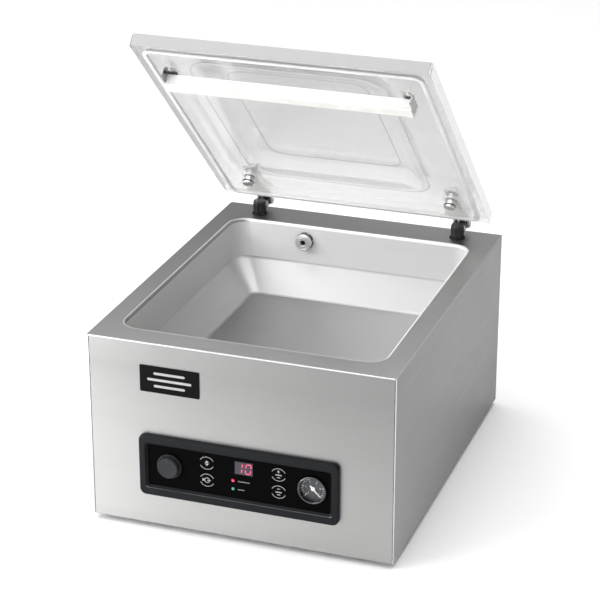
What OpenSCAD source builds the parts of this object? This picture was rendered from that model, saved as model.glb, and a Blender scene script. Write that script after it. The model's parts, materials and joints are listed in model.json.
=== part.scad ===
// Tabletop chamber vacuum sealer: steel housing, drawn chamber, clear lid on two rear hinges.
// +X points right as seen from the front, +Y to the back, +Z up. The origin lies on the surface
// that the feet stand on, below the middle of the whole outline, so the knob and the mains inlet
// count too. The modules draw about the middle of the housing, and placed() moves them by the
// difference. The lid is drawn standing open.

/* [Housing] */
// Width of the housing
housing_w = 425; // [421:1:440]
// Depth of the housing
housing_d = 530; // [528:1:545]
// Height of the housing above its feet
housing_h = 268; // [266:1:290]
// Thickness of the sheet steel
sheet = 1.5; // [1:0.1:1.8]
// Height of each foot
foot_h = 8; // [6:1:14]
// Radius of each foot
foot_r = 16; // [12:1:20]

/* [Chamber] */
// Width between the upright chamber walls
chamber_w = 362; // [354:1:364]
// Depth between the upright chamber walls
chamber_d = 427; // [422:1:429]
// Distance of the chamber's middle in front of the housing's middle
chamber_shift = 14.5; // [13:0.5:15]
// Height of the upright walls
wall_h = 60; // [58:1:62]
// Height of the sloping part below them
slope_h = 40; // [36:1:44]
// How far the sloping part runs inwards
slope_in = 40; // [36:1:44]
// Corner radius of the upright walls
chamber_r = 24; // [16:1:30]
// Radius of the rolled edge around the chamber
rim_r = 4; // [2:0.5:4.5]

/* [Lid] */
// Width of the lid
lid_w = 411; // [408:1:420]
// Length of the lid from its front to its rear edge
lid_l = 466; // [466:1:470]
// Thickness of the lid
lid_t = 18.4; // [17:0.1:20]
// Angle that the lid stands open at
lid_open = 43.4; // [0:0.1:60]
// Gap between the deck and the closed lid
lid_gap = 2.5; // [2.5:0.1:3]
// Depth of the dome's hollow in the lid's underside
dome_in = 15; // [10:1:16]
// Height of the dome above the lid's outer face
dome_out = 8; // [4:1:10]

/* [Hinges] */
// Distance of each hinge from the middle
hinge_x = 154; // [152:1:157]
// Radius of the hinge pins
pin_r = 2.5; // [2:0.1:3]
// Width of each hinge bracket
bracket_w = 37; // [37:1:40]

/* [Seal bar] */
// Length of the seal bar
bar_l = 336; // [300:1:340]
// Length of the counter bar in the lid
counter_l = 341; // [330:1:341]
// Travel of the seal bar up to the counter bar
bar_travel = 15.6; // [10:0.1:15.6]

/* [Control panel] */
// Width of the control bezel
bezel_w = 280; // [278:1:290]
// Height of the control bezel
bezel_h = 89; // [87:1:92]
// How far the bezel stands out of the front panel
bezel_out = 7; // [6:0.5:9]
// Radius of the main switch knob
knob_r = 17.5; // [14:0.5:18]
// Radius of the vacuum gauge
gauge_r = 20; // [20:0.1:21]
// Radius of each key
key_r = 10.4; // [9:0.1:10.8]
// Travel of each key
key_travel = 0.6; // [0.3:0.1:0.6]

/* [Pump] */
// Length of the pump block
pump_l = 140; // [130:1:142]
// Radius of the motor housing
motor_r = 48; // [44:1:50]

/* [Hidden] */
$fn = 64;
slip = 0.05;
seam = 0.3;
deck_z = foot_h + housing_h;
front_y = -housing_d / 2;
rear_y = housing_d / 2;
knob_out = 11.5;
inlet_out = 3;
outline_shift = (knob_out - inlet_out) / 2;
side_x = housing_w / 2;
base_top = foot_h + sheet;
panel_top = deck_z - sheet - seam;

bend_z = deck_z - wall_h;
floor_z = bend_z - slope_h;
floor_r = 12;
floor_w = chamber_w - 2 * slope_in;
floor_d = chamber_d - 2 * slope_in;
chamber_y = -chamber_shift;
chamber_back = chamber_y + chamber_d / 2;

lid_front = -249;
lid_under = deck_z + lid_gap;
lid_top = lid_under + lid_t;
pivot_y = 254;
pivot_z = deck_z + 13;
gasket_w = 6;
gasket_line_w = lid_w - 31;
gasket_line_d = lid_l - 22;
gasket_y = chamber_y + 1;
gasket_groove = 3.5;
gasket_drop = lid_gap - 0.3;
dome_y = -44;
bolt_x = hinge_x;
bolt_y = 165.5;
bolt_head_h = 4;
bolt_head_r = 8;
bolt_ring_h = 1.2;
bolt_ring_r = 8.8;
bolt_bush_r = 7;
bolt_r = 4;
counter_y = -171.5;
counter_deep = 20;
counter_top = lid_under - 3.5;
counter_low = lid_under - 20.5;
clip_t = 1.5;
clip_screw_x = 165;
clip_screw_y = -191;

leaf_t = 2.5;
cheek_t = 3;
boss_r = 5.5;
cheek_x = 9.4;
spring_wire = 2.2;
spring_r = 5.8;
post_y = 229;
post_r = 9.8;
post_top = lid_top - 0.4;
ear_t = 3;
ear_r = 5.5;
stem_r = 7.9;

bar_w = 16;
bar_body_h = 23;
bar_top = counter_low - bar_travel - 0.4;
tape_t = 0.5;
bar_low = bar_top - tape_t - bar_body_h;
rod_r = 5;
rod_x = 110;
lift_top = bar_low - 12;

panel_x = -1;
panel_z = foot_h + 90.5;
window_w = 256;
window_h = 60;
collar = 3;
fascia_t = 3;
fascia_out = 1.5;
knob_x = -98.5;
knob_z = foot_h + 92;
gauge_x = 101.5;
gauge_z = foot_h + 91.5;
pointer_angle = -47;
dial_out = -2.2;
lamp_r = 2.2;
key_xs = [-45.5, 55];
key_zs = [foot_h + 80, foot_h + 105.2];
display_x = 6.3;
display_z = foot_h + 105.4;
lamp_x = -9;
red_z = foot_h + 85.5;
green_z = foot_h + 73.4;
key_back = 5;
board_out = -9.6;
board_t = 1.6;
badge_x = -96.5;
badge_z = foot_h + 215;

nozzle_x = -71;
nozzle_z = deck_z - 23;
pump_x = -110;
pump_y = 70;
pump_low = base_top + 14;
pump_w = 120;
pump_h = 96;
shaft_r = 6;
motor_z = 75;
motor_x0 = pump_x + pump_l / 2;
motor_x1 = motor_x0 + 120;
hose_r = 8;
hose_y = 222;
hose_bend_r = 14;
hose_low = pump_low + pump_h + 30;
valve_h = 38;
inlet_x = 150;
inlet_z = foot_h + 60;
foot_dx = side_x - 42;
foot_dy = rear_y - 42;

// ---- shared shapes ----

// Puts the middle of the outline above the origin
module placed() {
    translate([0, outline_shift, 0])
        children();
}

// Rectangle with round corners, centred
module round_rect(w, d, r) {
    square([w - 2 * r, d], center = true);
    square([w, d - 2 * r], center = true);
    for (sx = [-1, 1], sy = [-1, 1])
        translate([sx * (w / 2 - r), sy * (d / 2 - r)])
            circle(r);
}

module round_plate(w, d, h, r) {
    linear_extrude(h)
        round_rect(w, d, r);
}

// Block given by its lowest and highest corners
module block(low, high) {
    translate(low)
        cube(high - low);
}

// Loft between two round-cornered plates
module loft(w0, d0, r0, w1, d1, r1, h) {
    lip = 0.5;
    hull() {
        linear_extrude(lip)
            round_rect(w0, d0, r0, $fn = 32);
        translate([0, 0, h - lip])
            linear_extrude(lip)
                round_rect(w1, d1, r1, $fn = 32);
    }
}

// Cylinder along +X from x0 to x1
module bar_along_x(x0, x1, r) {
    translate([x0, 0, 0])
        rotate([0, 90, 0])
            cylinder(h = x1 - x0, r = r);
}

module tube(h, r_out, r_in) {
    difference() {
        cylinder(h = h, r = r_out);
        translate([0, 0, -1])
            cylinder(h = h + 2, r = r_in);
    }
}

// Local Z points out of the front panel, local X right and local Y up
module on_front(x, z) {
    translate([x, front_y, z])
        rotate([90, 0, 0])
            children();
}

// Turns what is drawn for the closed lid to the open position
module opened() {
    translate([0, pivot_y, pivot_z])
        rotate([-lid_open, 0, 0])
            translate([0, -pivot_y, -pivot_z])
                children();
}

module both_sides(x) {
    for (sx = [-1, 1])
        translate([sx * x, 0, 0])
            children();
}

module hex_nut(across, h, r_in) {
    difference() {
        cylinder(h = h, r = across / sqrt(3), $fn = 6);
        translate([0, 0, -1])
            cylinder(h = h + 2, r = r_in);
    }
}

// ---- housing ----

// Quarter-round flare that rolls the deck into the chamber wall, along one straight edge
module flare_profile() {
    difference() {
        square([rim_r, rim_r + 1]);
        translate([rim_r, 0])
            circle(rim_r);
    }
}

module rim_flare() {
    for (sx = [-1, 1])
        translate([sx * chamber_w / 2, chamber_d / 2 - chamber_r, deck_z - rim_r])
            rotate([90, 0, 0])
                linear_extrude(chamber_d - 2 * chamber_r)
                    scale([sx, 1])
                        flare_profile();
    for (sy = [-1, 1])
        translate([-chamber_w / 2 + chamber_r, sy * chamber_d / 2, deck_z - rim_r])
            rotate([90, 0, 90])
                linear_extrude(chamber_w - 2 * chamber_r)
                    scale([sy, 1])
                        flare_profile();
    for (sx = [-1, 1], sy = [-1, 1])
        translate([sx * (chamber_w / 2 - chamber_r), sy * (chamber_d / 2 - chamber_r), deck_z - rim_r])
            rotate_extrude()
                translate([chamber_r, 0])
                    flare_profile();
}

// Top plate with a downward flange all round, open over the chamber
module top_deck() {
    flange_h = 14;
    flange_gap = 4;
    color("silver")
        difference() {
            union() {
                translate([0, 0, deck_z - sheet])
                    round_plate(housing_w, housing_d, sheet, 2.5);
                translate([0, 0, deck_z - sheet - flange_h])
                    linear_extrude(flange_h)
                        difference() {
                            square([housing_w - flange_gap, housing_d - flange_gap], center = true);
                            square([housing_w - flange_gap - 2 * sheet,
                                housing_d - flange_gap - 2 * sheet], center = true);
                        }
            }
            translate([0, chamber_y, deck_z - sheet - 1])
                round_plate(chamber_w + 2 * rim_r, chamber_d + 2 * rim_r, sheet + 2,
                    chamber_r + rim_r);
            both_sides(hinge_x)
                translate([0, post_y, deck_z - 5])
                    cylinder(h = 10, r = stem_r + 0.1);
        }
}

// Drawn chamber: rolled rim, upright walls, sloping lower walls and a flat floor
module chamber_pan() {
    color("silver")
        difference() {
            union() {
                translate([0, chamber_y, deck_z - rim_r - sheet])
                    round_plate(chamber_w + 2 * rim_r, chamber_d + 2 * rim_r, rim_r + sheet,
                        chamber_r + rim_r);
                translate([0, chamber_y, bend_z - 0.1])
                    round_plate(chamber_w + 2 * sheet, chamber_d + 2 * sheet, wall_h - rim_r,
                        chamber_r + sheet);
                translate([0, chamber_y, floor_z - sheet])
                    loft(floor_w + 2 * sheet, floor_d + 2 * sheet, floor_r + sheet,
                        chamber_w + 2 * sheet, chamber_d + 2 * sheet, chamber_r + sheet,
                        slope_h + sheet);
            }
            translate([0, chamber_y, bend_z])
                round_plate(chamber_w, chamber_d, wall_h + 1, chamber_r);
            translate([0, chamber_y, floor_z])
                loft(floor_w, floor_d, floor_r, chamber_w, chamber_d, chamber_r, slope_h + 0.2);
            translate([0, chamber_y, 0])
                rim_flare();
            translate([nozzle_x, chamber_back - 1, nozzle_z])
                rotate([-90, 0, 0])
                    cylinder(h = 10, r = 6.1);
        }
}

// Flat sheet between the side panels, with a flange folded back at each side, a window and
// two badge holes
module front_panel() {
    fold = 12;
    front_half_w = side_x - sheet - seam;
    color("gainsboro")
        difference() {
            union() {
                block([-front_half_w, front_y, foot_h], [front_half_w, front_y + sheet, panel_top]);
                for (sx = [-1, 1])
                    scale([sx, 1, 1])
                        block([front_half_w - sheet, front_y + sheet - 0.1, foot_h + 2 * sheet + 1],
                            [front_half_w, front_y + sheet + fold, panel_top - 16]);
            }
            on_front(panel_x, panel_z)
                translate([0, 0, -sheet - 1])
                    round_plate(window_w + 2 * collar + 0.6, window_h + 2 * collar + 0.6, sheet + 2, 5);
            for (sx = [-1, 1])
                on_front(badge_x + sx * 30, badge_z)
                    translate([0, 0, -sheet - 1])
                        cylinder(h = sheet + 2, r = 1.6);
        }
}

// A side panel: flat sheet with a returned flange at the bottom
module side_panel(sx) {
    color("darkgray")
        scale([sx, 1, 1]) {
            block([side_x - sheet, front_y, foot_h],
                [side_x, rear_y - sheet - seam, panel_top]);
            block([side_x - sheet - 14, front_y + sheet + 14, foot_h + sheet],
                [side_x - sheet, rear_y - sheet - 14, foot_h + 2 * sheet]);
        }
}

module left_panel() {
    side_panel(-1);
}

module right_panel() {
    side_panel(1);
}

module vent_slots(x) {
    slots = 9;
    pitch = 9;
    for (i = [0 : slots - 1])
        translate([x, rear_y, foot_h + 130 + i * pitch])
            rotate([90, 0, 0])
                translate([0, 0, -1])
                    round_plate(80, 4, sheet + 2, 1.99);
}

rear_screw_xs = [-195, -65, 65, 195];
rear_screw_zs = [foot_h + 14, deck_z - 26];

module rear_panel() {
    color("darkgray")
        difference() {
            block([-side_x, rear_y - sheet, foot_h], [side_x, rear_y, panel_top]);
            vent_slots(-100);
            vent_slots(100);
            translate([inlet_x, rear_y, inlet_z])
                rotate([90, 0, 0])
                    translate([0, 0, -1])
                        round_plate(28, 21, sheet + 2, 3);
            for (x = rear_screw_xs, z = rear_screw_zs)
                translate([x, rear_y + 1, z])
                    rotate([90, 0, 0])
                        cylinder(h = sheet + 2, r = 2.1);
        }
}

module rear_screws() {
    color("gray")
        for (x = rear_screw_xs, z = rear_screw_zs)
            translate([x, rear_y, z])
                rotate([90, 0, 0]) {
                    cylinder(h = 8, r = 2);
                    translate([0, 0, -2])
                        intersection() {
                            cylinder(h = 2, r = 4);
                            translate([0, 0, 4.4])
                                sphere(r = 5.4);
                        }
                }
}

module base_plate() {
    color("darkgray")
        difference() {
            block([-side_x + 3.4, front_y + 3.4, foot_h], [side_x - 3.4, rear_y - 3.4, base_top]);
            for (sx = [-1, 1], sy = [-1, 1])
                translate([sx * foot_dx, sy * foot_dy, 0])
                    cylinder(h = 20, r = 2.6);
            for (i = [-4 : 4])
                translate([110 + i * 9, 70, 0])
                    round_plate(4, 60, 20, 1.99);
        }
}

module feet() {
    color("dimgray")
        for (sx = [-1, 1], sy = [-1, 1])
            translate([sx * foot_dx, sy * foot_dy, 0])
                difference() {
                    union() {
                        cylinder(h = 1.5, r = foot_r - 1);
                        translate([0, 0, 1.5])
                            cylinder(h = foot_h - 1.5, r = foot_r);
                    }
                    translate([0, 0, -1])
                        cylinder(h = foot_h - 2, r = 5.5);
                    cylinder(h = foot_h + 1, r = 2.6);
                }
}

module foot_screws() {
    color("gray")
        for (sx = [-1, 1], sy = [-1, 1])
            translate([sx * foot_dx, sy * foot_dy, foot_h - 3]) {
                cylinder(h = 12, r = 2.5);
                translate([0, 0, -1.6])
                    cylinder(h = 1.6, r = 4.8);
                translate([0, 0, 3 + sheet])
                    cylinder(h = 4, r = 4.6, $fn = 6);
            }
}

// ---- front of the housing ----

// Plain plate with three raised bars
module badge_plate() {
    color("black")
        on_front(badge_x, badge_z) {
            round_plate(84, 38, 1.2, 1.5);
            for (i = [-1 : 1])
                translate([0, i * 9, 1.2])
                    round_plate(62 - 18 * abs(i), 3.4, 0.3, 1.65);
            both_sides(30)
                translate([0, 0, -6])
                    cylinder(h = 6, r = 1.5);
        }
}

module control_bezel() {
    color("#26282a")
        on_front(panel_x, panel_z)
            difference() {
                union() {
                    round_plate(bezel_w, bezel_h, bezel_out - 1.5, 9);
                    translate([0, 0, bezel_out - 1.5])
                        round_plate(bezel_w - 3, bezel_h - 3, 1.5, 7.5);
                    translate([0, 0, -10])
                        round_plate(window_w + 2 * collar, window_h + 2 * collar, 10.1, 5);
                }
                translate([0, 0, -11])
                    round_plate(window_w, window_h, bezel_out + 12, 3);
            }
}

module key_places() {
    for (x = key_xs, z = key_zs)
        on_front(x, z)
            children();
}

module control_fascia() {
    color("#101112")
        difference() {
            union() {
                on_front(panel_x, panel_z)
                    translate([0, 0, fascia_out - fascia_t])
                        round_plate(window_w - 0.4, window_h - 0.4, fascia_t, 2.8);
                for (sx = [-1, 1], sz = [-1, 1])
                    on_front(panel_x + sx * 118, panel_z + sz * 24)
                        translate([0, 0, board_out + board_t])
                            cylinder(h = -board_out - board_t - fascia_out + 0.1, r = 3);
            }
            on_front(knob_x, knob_z)
                translate([0, 0, -5])
                    cylinder(h = 10, r = 4);
            on_front(gauge_x, gauge_z)
                translate([0, 0, -5])
                    cylinder(h = 10, r = gauge_r - 1.7);
            key_places()
                translate([0, 0, -5])
                    cylinder(h = 10, r = key_r + 0.4);
            on_front(display_x, display_z)
                translate([0, 0, -5])
                    round_plate(25.2, 18.8, 10, 0.6);
            for (z = [red_z, green_z])
                on_front(lamp_x, z)
                    translate([0, 0, -5])
                        cylinder(h = 10, r = lamp_r + 0.1);
        }
}

module display_window() {
    color("#3a1014")
        on_front(display_x, display_z)
            translate([0, 0, 0.4])
                round_plate(25, 18.6, 1.3, 0.5);
}

// One seven-segment figure; on is a list of seven flags: top, upper right, lower right, bottom,
// lower left, upper left, middle
module figure(on) {
    seg_l = 5.6;
    seg_w = 1;
    ends = [[0, 6, 0], [3, 3, 90], [3, -3, 90], [0, -6, 0], [-3, -3, 90], [-3, 3, 90], [0, 0, 0]];
    for (i = [0 : 6])
        if (on[i] == 1)
            translate([ends[i][0], ends[i][1], 0])
                rotate([0, 0, ends[i][2]])
                    translate([-seg_l / 2 + 0.4, -seg_w / 2, 0])
                        cube([seg_l - 0.8, seg_w, 0.3]);
}

module display_digits() {
    color("red")
        on_front(display_x, display_z) {
            translate([-12, -8.8, board_out + board_t])
                cube([24, 17.6, -board_out - board_t - 0.2]);
            translate([-6, 0, -0.21])
                figure([0, 1, 1, 0, 0, 0, 0]);
            translate([6, 0, -0.21])
                figure([1, 1, 1, 1, 1, 1, 0]);
        }
}

module lamp(z) {
    on_front(lamp_x, z) {
        translate([0, 0, board_out + board_t])
            cylinder(h = fascia_out - 0.5 - board_out - board_t, r = lamp_r);
        translate([0, 0, fascia_out - 0.5])
            sphere(r = lamp_r);
    }
}

module red_lamp() {
    color("red")
        lamp(red_z);
}

module green_lamp() {
    color("limegreen")
        lamp(green_z);
}

module gauge_case() {
    color("dimgray")
        on_front(gauge_x, gauge_z)
            difference() {
                union() {
                    translate([0, 0, -24])
                        cylinder(h = 25.5, r = gauge_r - 1.8);
                    translate([0, 0, -36])
                        cylinder(h = 12.1, r = 5);
                }
                translate([0, 0, dial_out])
                    cylinder(h = 6, r = gauge_r - 2.6);
                translate([0, 0, -22])
                    cylinder(h = 14, r = gauge_r - 4);
                translate([0, 0, -12])
                    cylinder(h = 14, r = 1 + slip);
                translate([0, 0, -37])
                    cylinder(h = 16, r = 2);
            }
}

module gauge_dial() {
    color("slategray")
        on_front(gauge_x, gauge_z)
            translate([0, 0, dial_out])
                difference() {
                    cylinder(h = 0.6, r = gauge_r - 2.65);
                    translate([0, 0, -1])
                        cylinder(h = 3, r = 1.3);
                }
}

module gauge_ring() {
    color("lightgray")
        on_front(gauge_x, gauge_z)
            translate([0, 0, 1.5])
                difference() {
                    union() {
                        cylinder(h = 3, r = gauge_r);
                        cylinder(h = 4, r = gauge_r - 0.8);
                    }
                    translate([0, 0, -1])
                        cylinder(h = 4.3, r = gauge_r - 2.1);
                    cylinder(h = 6, r = gauge_r - 2.7);
                }
}

module gauge_lens() {
    color("lightcyan", 0.3)
        on_front(gauge_x, gauge_z)
            translate([0, 0, 3.8])
                cylinder(h = 1, r = gauge_r - 2.15);
}

module gauge_pointer() {
    color("white")
        on_front(gauge_x, gauge_z)
            rotate([0, 0, pointer_angle]) {
                translate([0, 0, dial_out + 1.6])
                    linear_extrude(0.5)
                        polygon([[-5.5, -1.2], [-5.5, 1.2], [15.2, 0.3], [15.2, -0.3]]);
                translate([0, 0, dial_out + 1.3])
                    cylinder(h = 1.2, r = 2.8);
                translate([0, 0, dial_out - 7.5])
                    cylinder(h = 9, r = 1);
            }
}

module switch_knob() {
    color("#3c3e41")
        on_front(knob_x, knob_z) {
            translate([0, 0, 2.3])
                cylinder(h = 3, r = knob_r);
            translate([0, 0, 5.2])
                cylinder(h = knob_out - 6.7, r1 = knob_r - 0.6, r2 = knob_r - 1.6, $fn = 12);
            translate([0, 0, knob_out - 1.6])
                cylinder(h = 1.6, r1 = knob_r - 1.6, r2 = knob_r - 3.6, $fn = 12);
            translate([0, 0, -16])
                cylinder(h = 18.5, r = 3);
        }
}

module switch_body() {
    color("dimgray")
        on_front(knob_x, knob_z)
            difference() {
                union() {
                    translate([-15, -15, -27])
                        cube([30, 30, 22]);
                    translate([0, 0, -5.1])
                        cylinder(h = 5.1 - fascia_out, r = 6);
                    for (i = [-1 : 1])
                        translate([i * 8 - 1, -10, -33])
                            cube([2, 20, 6.1]);
                }
                translate([0, 0, -18])
                    cylinder(h = 20, r = 3 + slip);
            }
}

module key(x, z) {
    color("#1a1b1d")
        on_front(x, z) {
            translate([0, 0, -1.9])
                cylinder(h = 3.9, r = key_r);
            translate([0, 0, -2.6])
                cylinder(h = 0.8, r = key_r + 1.4);
            translate([0, 0, -key_back])
                cylinder(h = key_back - 2.5, r = 2);
        }
}

module key_left_low() {
    key(key_xs[0], key_zs[0]);
}

module key_left_high() {
    key(key_xs[0], key_zs[1]);
}

module key_right_low() {
    key(key_xs[1], key_zs[0]);
}

module key_right_high() {
    key(key_xs[1], key_zs[1]);
}

module control_board() {
    color("darkgreen") {
        difference() {
            on_front(panel_x, panel_z)
                translate([-123, -27, board_out])
                    cube([246, 54, board_t]);
            on_front(knob_x, knob_z)
                translate([-16, -16, board_out - 1])
                    cube([32, 32, board_t + 2]);
            on_front(gauge_x, gauge_z)
                translate([0, 0, board_out - 1])
                    cylinder(h = board_t + 2, r = gauge_r - 1);
        }
        key_places()
            translate([-3, -3, board_out + board_t - 0.1])
                cube([6, 6, 0.1 - board_out - board_t - key_back - key_travel - 0.2]);
        on_front(10, panel_z - 16)
            translate([0, 0, board_out - 11.9])
                cube([28, 16, 12]);
        on_front(-20, panel_z + 8)
            translate([0, 0, board_out - 2.9])
                cube([14, 9, 3]);
    }
}

// ---- chamber fittings ----

module suction_nozzle() {
    color("gray")
        translate([nozzle_x, chamber_back, nozzle_z])
            rotate([90, 0, 0])
                difference() {
                    union() {
                        translate([0, 0, 5])
                            cylinder(h = 6, r = 12.5);
                        translate([0, 0, 10.9])
                            cylinder(h = 1.1, r = 11.5);
                        translate([0, 0, -18])
                            cylinder(h = 24, r = 6);
                    }
                    translate([0, 0, -19])
                        cylinder(h = 32, r = 4);
                }
}

// Hexagon lock ring between the nozzle and the wall, and its nut behind the wall
module nozzle_ring() {
    color("gray")
        translate([nozzle_x, chamber_back, nozzle_z])
            rotate([90, 0, 0]) {
                hex_nut(24, 5, 6);
                translate([0, 0, -sheet - 5])
                    hex_nut(19, 5, 6);
            }
}

module lift_cylinders() {
    color("silver")
        both_sides(rod_x)
            translate([0, counter_y, floor_z])
                difference() {
                    union() {
                        cylinder(h = lift_top - floor_z, r = 13);
                        cylinder(h = 3, r = 17);
                    }
                    translate([0, 0, 3])
                        cylinder(h = 60, r = rod_r + slip);
                }
}

module lift_rods() {
    color("lightgray")
        both_sides(rod_x)
            translate([0, counter_y, floor_z + 4])
                cylinder(h = bar_low - floor_z - 4, r = rod_r);
}

module seal_bar() {
    color("lightgray")
        difference() {
            block([-bar_l / 2, counter_y - bar_w / 2, bar_low],
                [bar_l / 2, counter_y + bar_w / 2, bar_low + bar_body_h]);
            block([-bar_l / 2 - 1, counter_y - 4, bar_low + bar_body_h - 1],
                [bar_l / 2 + 1, counter_y + 4, bar_low + bar_body_h + 1]);
            for (sx = [-1, 1])
                block([sx * bar_l / 2 - 6, counter_y - 3, bar_low - 1],
                    [sx * bar_l / 2 + 6, counter_y + 3, bar_low + 8]);
        }
}

// A sealing wire and a cutting wire on an insulating strip
module seal_wires() {
    color("tan")
        for (sy = [-1, 1])
            block([-bar_l / 2 + 3, counter_y + sy * 2.2 - 1.2, bar_low + bar_body_h - 1],
                [bar_l / 2 - 3, counter_y + sy * 2.2 + 1.2, bar_low + bar_body_h - 0.4]);
}

module seal_tape() {
    color("saddlebrown")
        block([-bar_l / 2 + 4, counter_y - bar_w / 2, bar_low + bar_body_h],
            [bar_l / 2 - 4, counter_y + bar_w / 2, bar_low + bar_body_h + tape_t]);
}

// ---- hinges ----

// Ribbed column with a stem through the deck and two ears behind it that hold the pin
module hinge_posts() {
    ribs = 20;
    rib_w = 1.4;
    ear_out = cheek_x - seam;
    ear_half = ear_r - 0.5;
    color("#1b1b1c")
        both_sides(hinge_x)
            difference() {
                union() {
                    translate([0, post_y, deck_z - 40])
                        cylinder(h = 41, r = stem_r);
                    translate([0, post_y, deck_z])
                        cylinder(h = post_top - deck_z, r = post_r - 0.6);
                    for (i = [0 : ribs - 1])
                        translate([0, post_y, deck_z])
                            rotate([0, 0, i * 360 / ribs])
                                translate([0, -rib_w / 2, 0])
                                    cube([post_r, rib_w, post_top - deck_z - 1]);
                    for (x = [-ear_out, ear_out - ear_t])
                        translate([x, 0, 0]) {
                            translate([0, pivot_y, pivot_z])
                                bar_along_x(0, ear_t, ear_r);
                            block([0, post_y, pivot_z - ear_half], [ear_t, pivot_y, pivot_z + ear_half]);
                        }
                }
                translate([0, pivot_y, pivot_z])
                    bar_along_x(-20, 20, pin_r + slip);
            }
}

module post_grommets() {
    color("#262626")
        both_sides(hinge_x)
            translate([0, post_y, deck_z])
                difference() {
                    union() {
                        cylinder(h = 1, r = post_r + 1.8);
                        cylinder(h = 2, r = post_r + 1);
                    }
                    translate([0, 0, -1])
                        cylinder(h = 5, r = post_r + 0.1);
                }
}

module post_nuts() {
    color("gray")
        both_sides(hinge_x)
            translate([0, post_y, deck_z - sheet - 8])
                rotate([0, 0, 30])
                    hex_nut(20, 8, stem_r);
}

module hinge_pins() {
    color("lightgray")
        opened()
            both_sides(hinge_x)
                translate([0, pivot_y, pivot_z]) {
                    bar_along_x(-cheek_x - cheek_t, cheek_x + cheek_t, pin_r);
                    bar_along_x(cheek_x + cheek_t, cheek_x + cheek_t + 1.2, pin_r + 1.2);
                    bar_along_x(-cheek_x - cheek_t - 1.2, -cheek_x - cheek_t, pin_r + 1.2);
                }
}

// Close turns of wire round the pin between the ears, with one leg under the bracket's leaf
module hinge_springs() {
    turns = 4;
    pitch = 0.92 * spring_wire;
    leg_r = 0.4 * spring_wire;
    color("#303030")
        opened()
            both_sides(hinge_x)
                translate([0, pivot_y, pivot_z]) {
                    rotate([0, 90, 0])
                        rotate_extrude()
                            for (i = [0 : turns - 1])
                                translate([spring_r, (i - (turns - 1) / 2) * pitch])
                                    circle(spring_wire / 2, $fn = 24);
                    translate([pitch / 2, 0, lid_top - pivot_z - leg_r - 0.1])
                        rotate([90, 0, 0])
                            cylinder(h = 9.5, r = leg_r);
                }
}

module bracket_leaf() {
    front = bolt_y - 12;
    linear_extrude(leaf_t)
        difference() {
            polygon([[-12, front], [12, front], [12, 196], [bracket_w / 2, 212],
                [bracket_w / 2, pivot_y + 3], [-bracket_w / 2, pivot_y + 3],
                [-bracket_w / 2, 212], [-12, 196]]);
            translate([0, bolt_y])
                circle(bolt_r + 0.1);
        }
}

// Side cheek of a bracket in the Y-Z plane, from the leaf down around the pin
module bracket_cheek() {
    rise = lid_top - pivot_z;
    rotate([90, 0, 90])
        linear_extrude(cheek_t)
            difference() {
                union() {
                    circle(boss_r);
                    polygon([[-17, rise + 0.1], [-boss_r * 0.8, -boss_r * 0.6],
                        [boss_r, 0], [3, rise + 0.1]]);
                }
                circle(pin_r);
            }
}

module hinge_brackets() {
    color("silver")
        opened()
            both_sides(hinge_x) {
                translate([0, 0, lid_top])
                    bracket_leaf();
                for (x = [-cheek_x - cheek_t, cheek_x])
                    translate([x, pivot_y, pivot_z])
                        bracket_cheek();
            }
}

// ---- lid ----

module gasket_ring() {
    difference() {
        round_rect(gasket_line_w + gasket_w, gasket_line_d + gasket_w, 15);
        round_rect(gasket_line_w - gasket_w, gasket_line_d - gasket_w, 9);
    }
}

module lid() {
    lid_y = lid_front + lid_l / 2;
    color("white", 0.4)
        opened()
            difference() {
                union() {
                    translate([0, lid_y, lid_under])
                        round_plate(lid_w, lid_l, lid_t, 5);
                    translate([0, dome_y, lid_top - 0.5])
                        loft(290, 370, 40, 216, 274, 26, dome_out + 0.5);
                }
                translate([0, dome_y, lid_under - 0.5])
                    loft(270, 350, 34, 200, 258, 24, dome_in + 0.5);
                translate([0, gasket_y, lid_under - 1])
                    linear_extrude(1 + gasket_groove)
                        gasket_ring();
                both_sides(bolt_x)
                    translate([0, bolt_y, 0]) {
                        translate([0, 0, lid_under - 1])
                            cylinder(h = lid_t + 2, r = bolt_bush_r + 0.2);
                        translate([0, 0, lid_top - bolt_ring_h])
                            cylinder(h = bolt_ring_h + 1, r = bolt_ring_r + 0.1);
                    }
                both_sides(clip_screw_x)
                    translate([0, clip_screw_y, lid_under - 1])
                        cylinder(h = 11, r = 2);
            }
}

module lid_gasket() {
    color("whitesmoke")
        opened()
            translate([0, gasket_y, lid_under - gasket_drop])
                linear_extrude(gasket_drop + gasket_groove)
                    gasket_ring();
}

module lid_bolts() {
    color("silver")
        opened()
            both_sides(bolt_x)
                translate([0, bolt_y, lid_under - bolt_ring_h]) {
                    cylinder(h = bolt_ring_h + lid_t + leaf_t + 8, r = bolt_r);
                    cylinder(h = bolt_ring_h + lid_t, r = bolt_bush_r);
                    translate([0, 0, -bolt_head_h])
                        cylinder(h = bolt_head_h, r = bolt_head_r);
                }
}

// A sealing ring below each bolt's head and one in the lid's outer face
module bolt_washers() {
    color("#202020")
        opened()
            both_sides(bolt_x)
                translate([0, bolt_y, 0]) {
                    translate([0, 0, lid_under - bolt_ring_h])
                        tube(bolt_ring_h, bolt_ring_r, bolt_bush_r);
                    translate([0, 0, lid_top - bolt_ring_h])
                        tube(bolt_ring_h, bolt_ring_r, bolt_bush_r);
                }
}

module lid_nuts() {
    color("silver")
        opened()
            both_sides(bolt_x)
                translate([0, bolt_y, lid_top + leaf_t])
                    hex_nut(13, 6.5, bolt_r);
}

module counter_bar() {
    color("white")
        opened()
            block([-counter_l / 2, counter_y - counter_deep / 2, counter_low + 5],
                [counter_l / 2, counter_y + counter_deep / 2, counter_top]);
}

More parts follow.
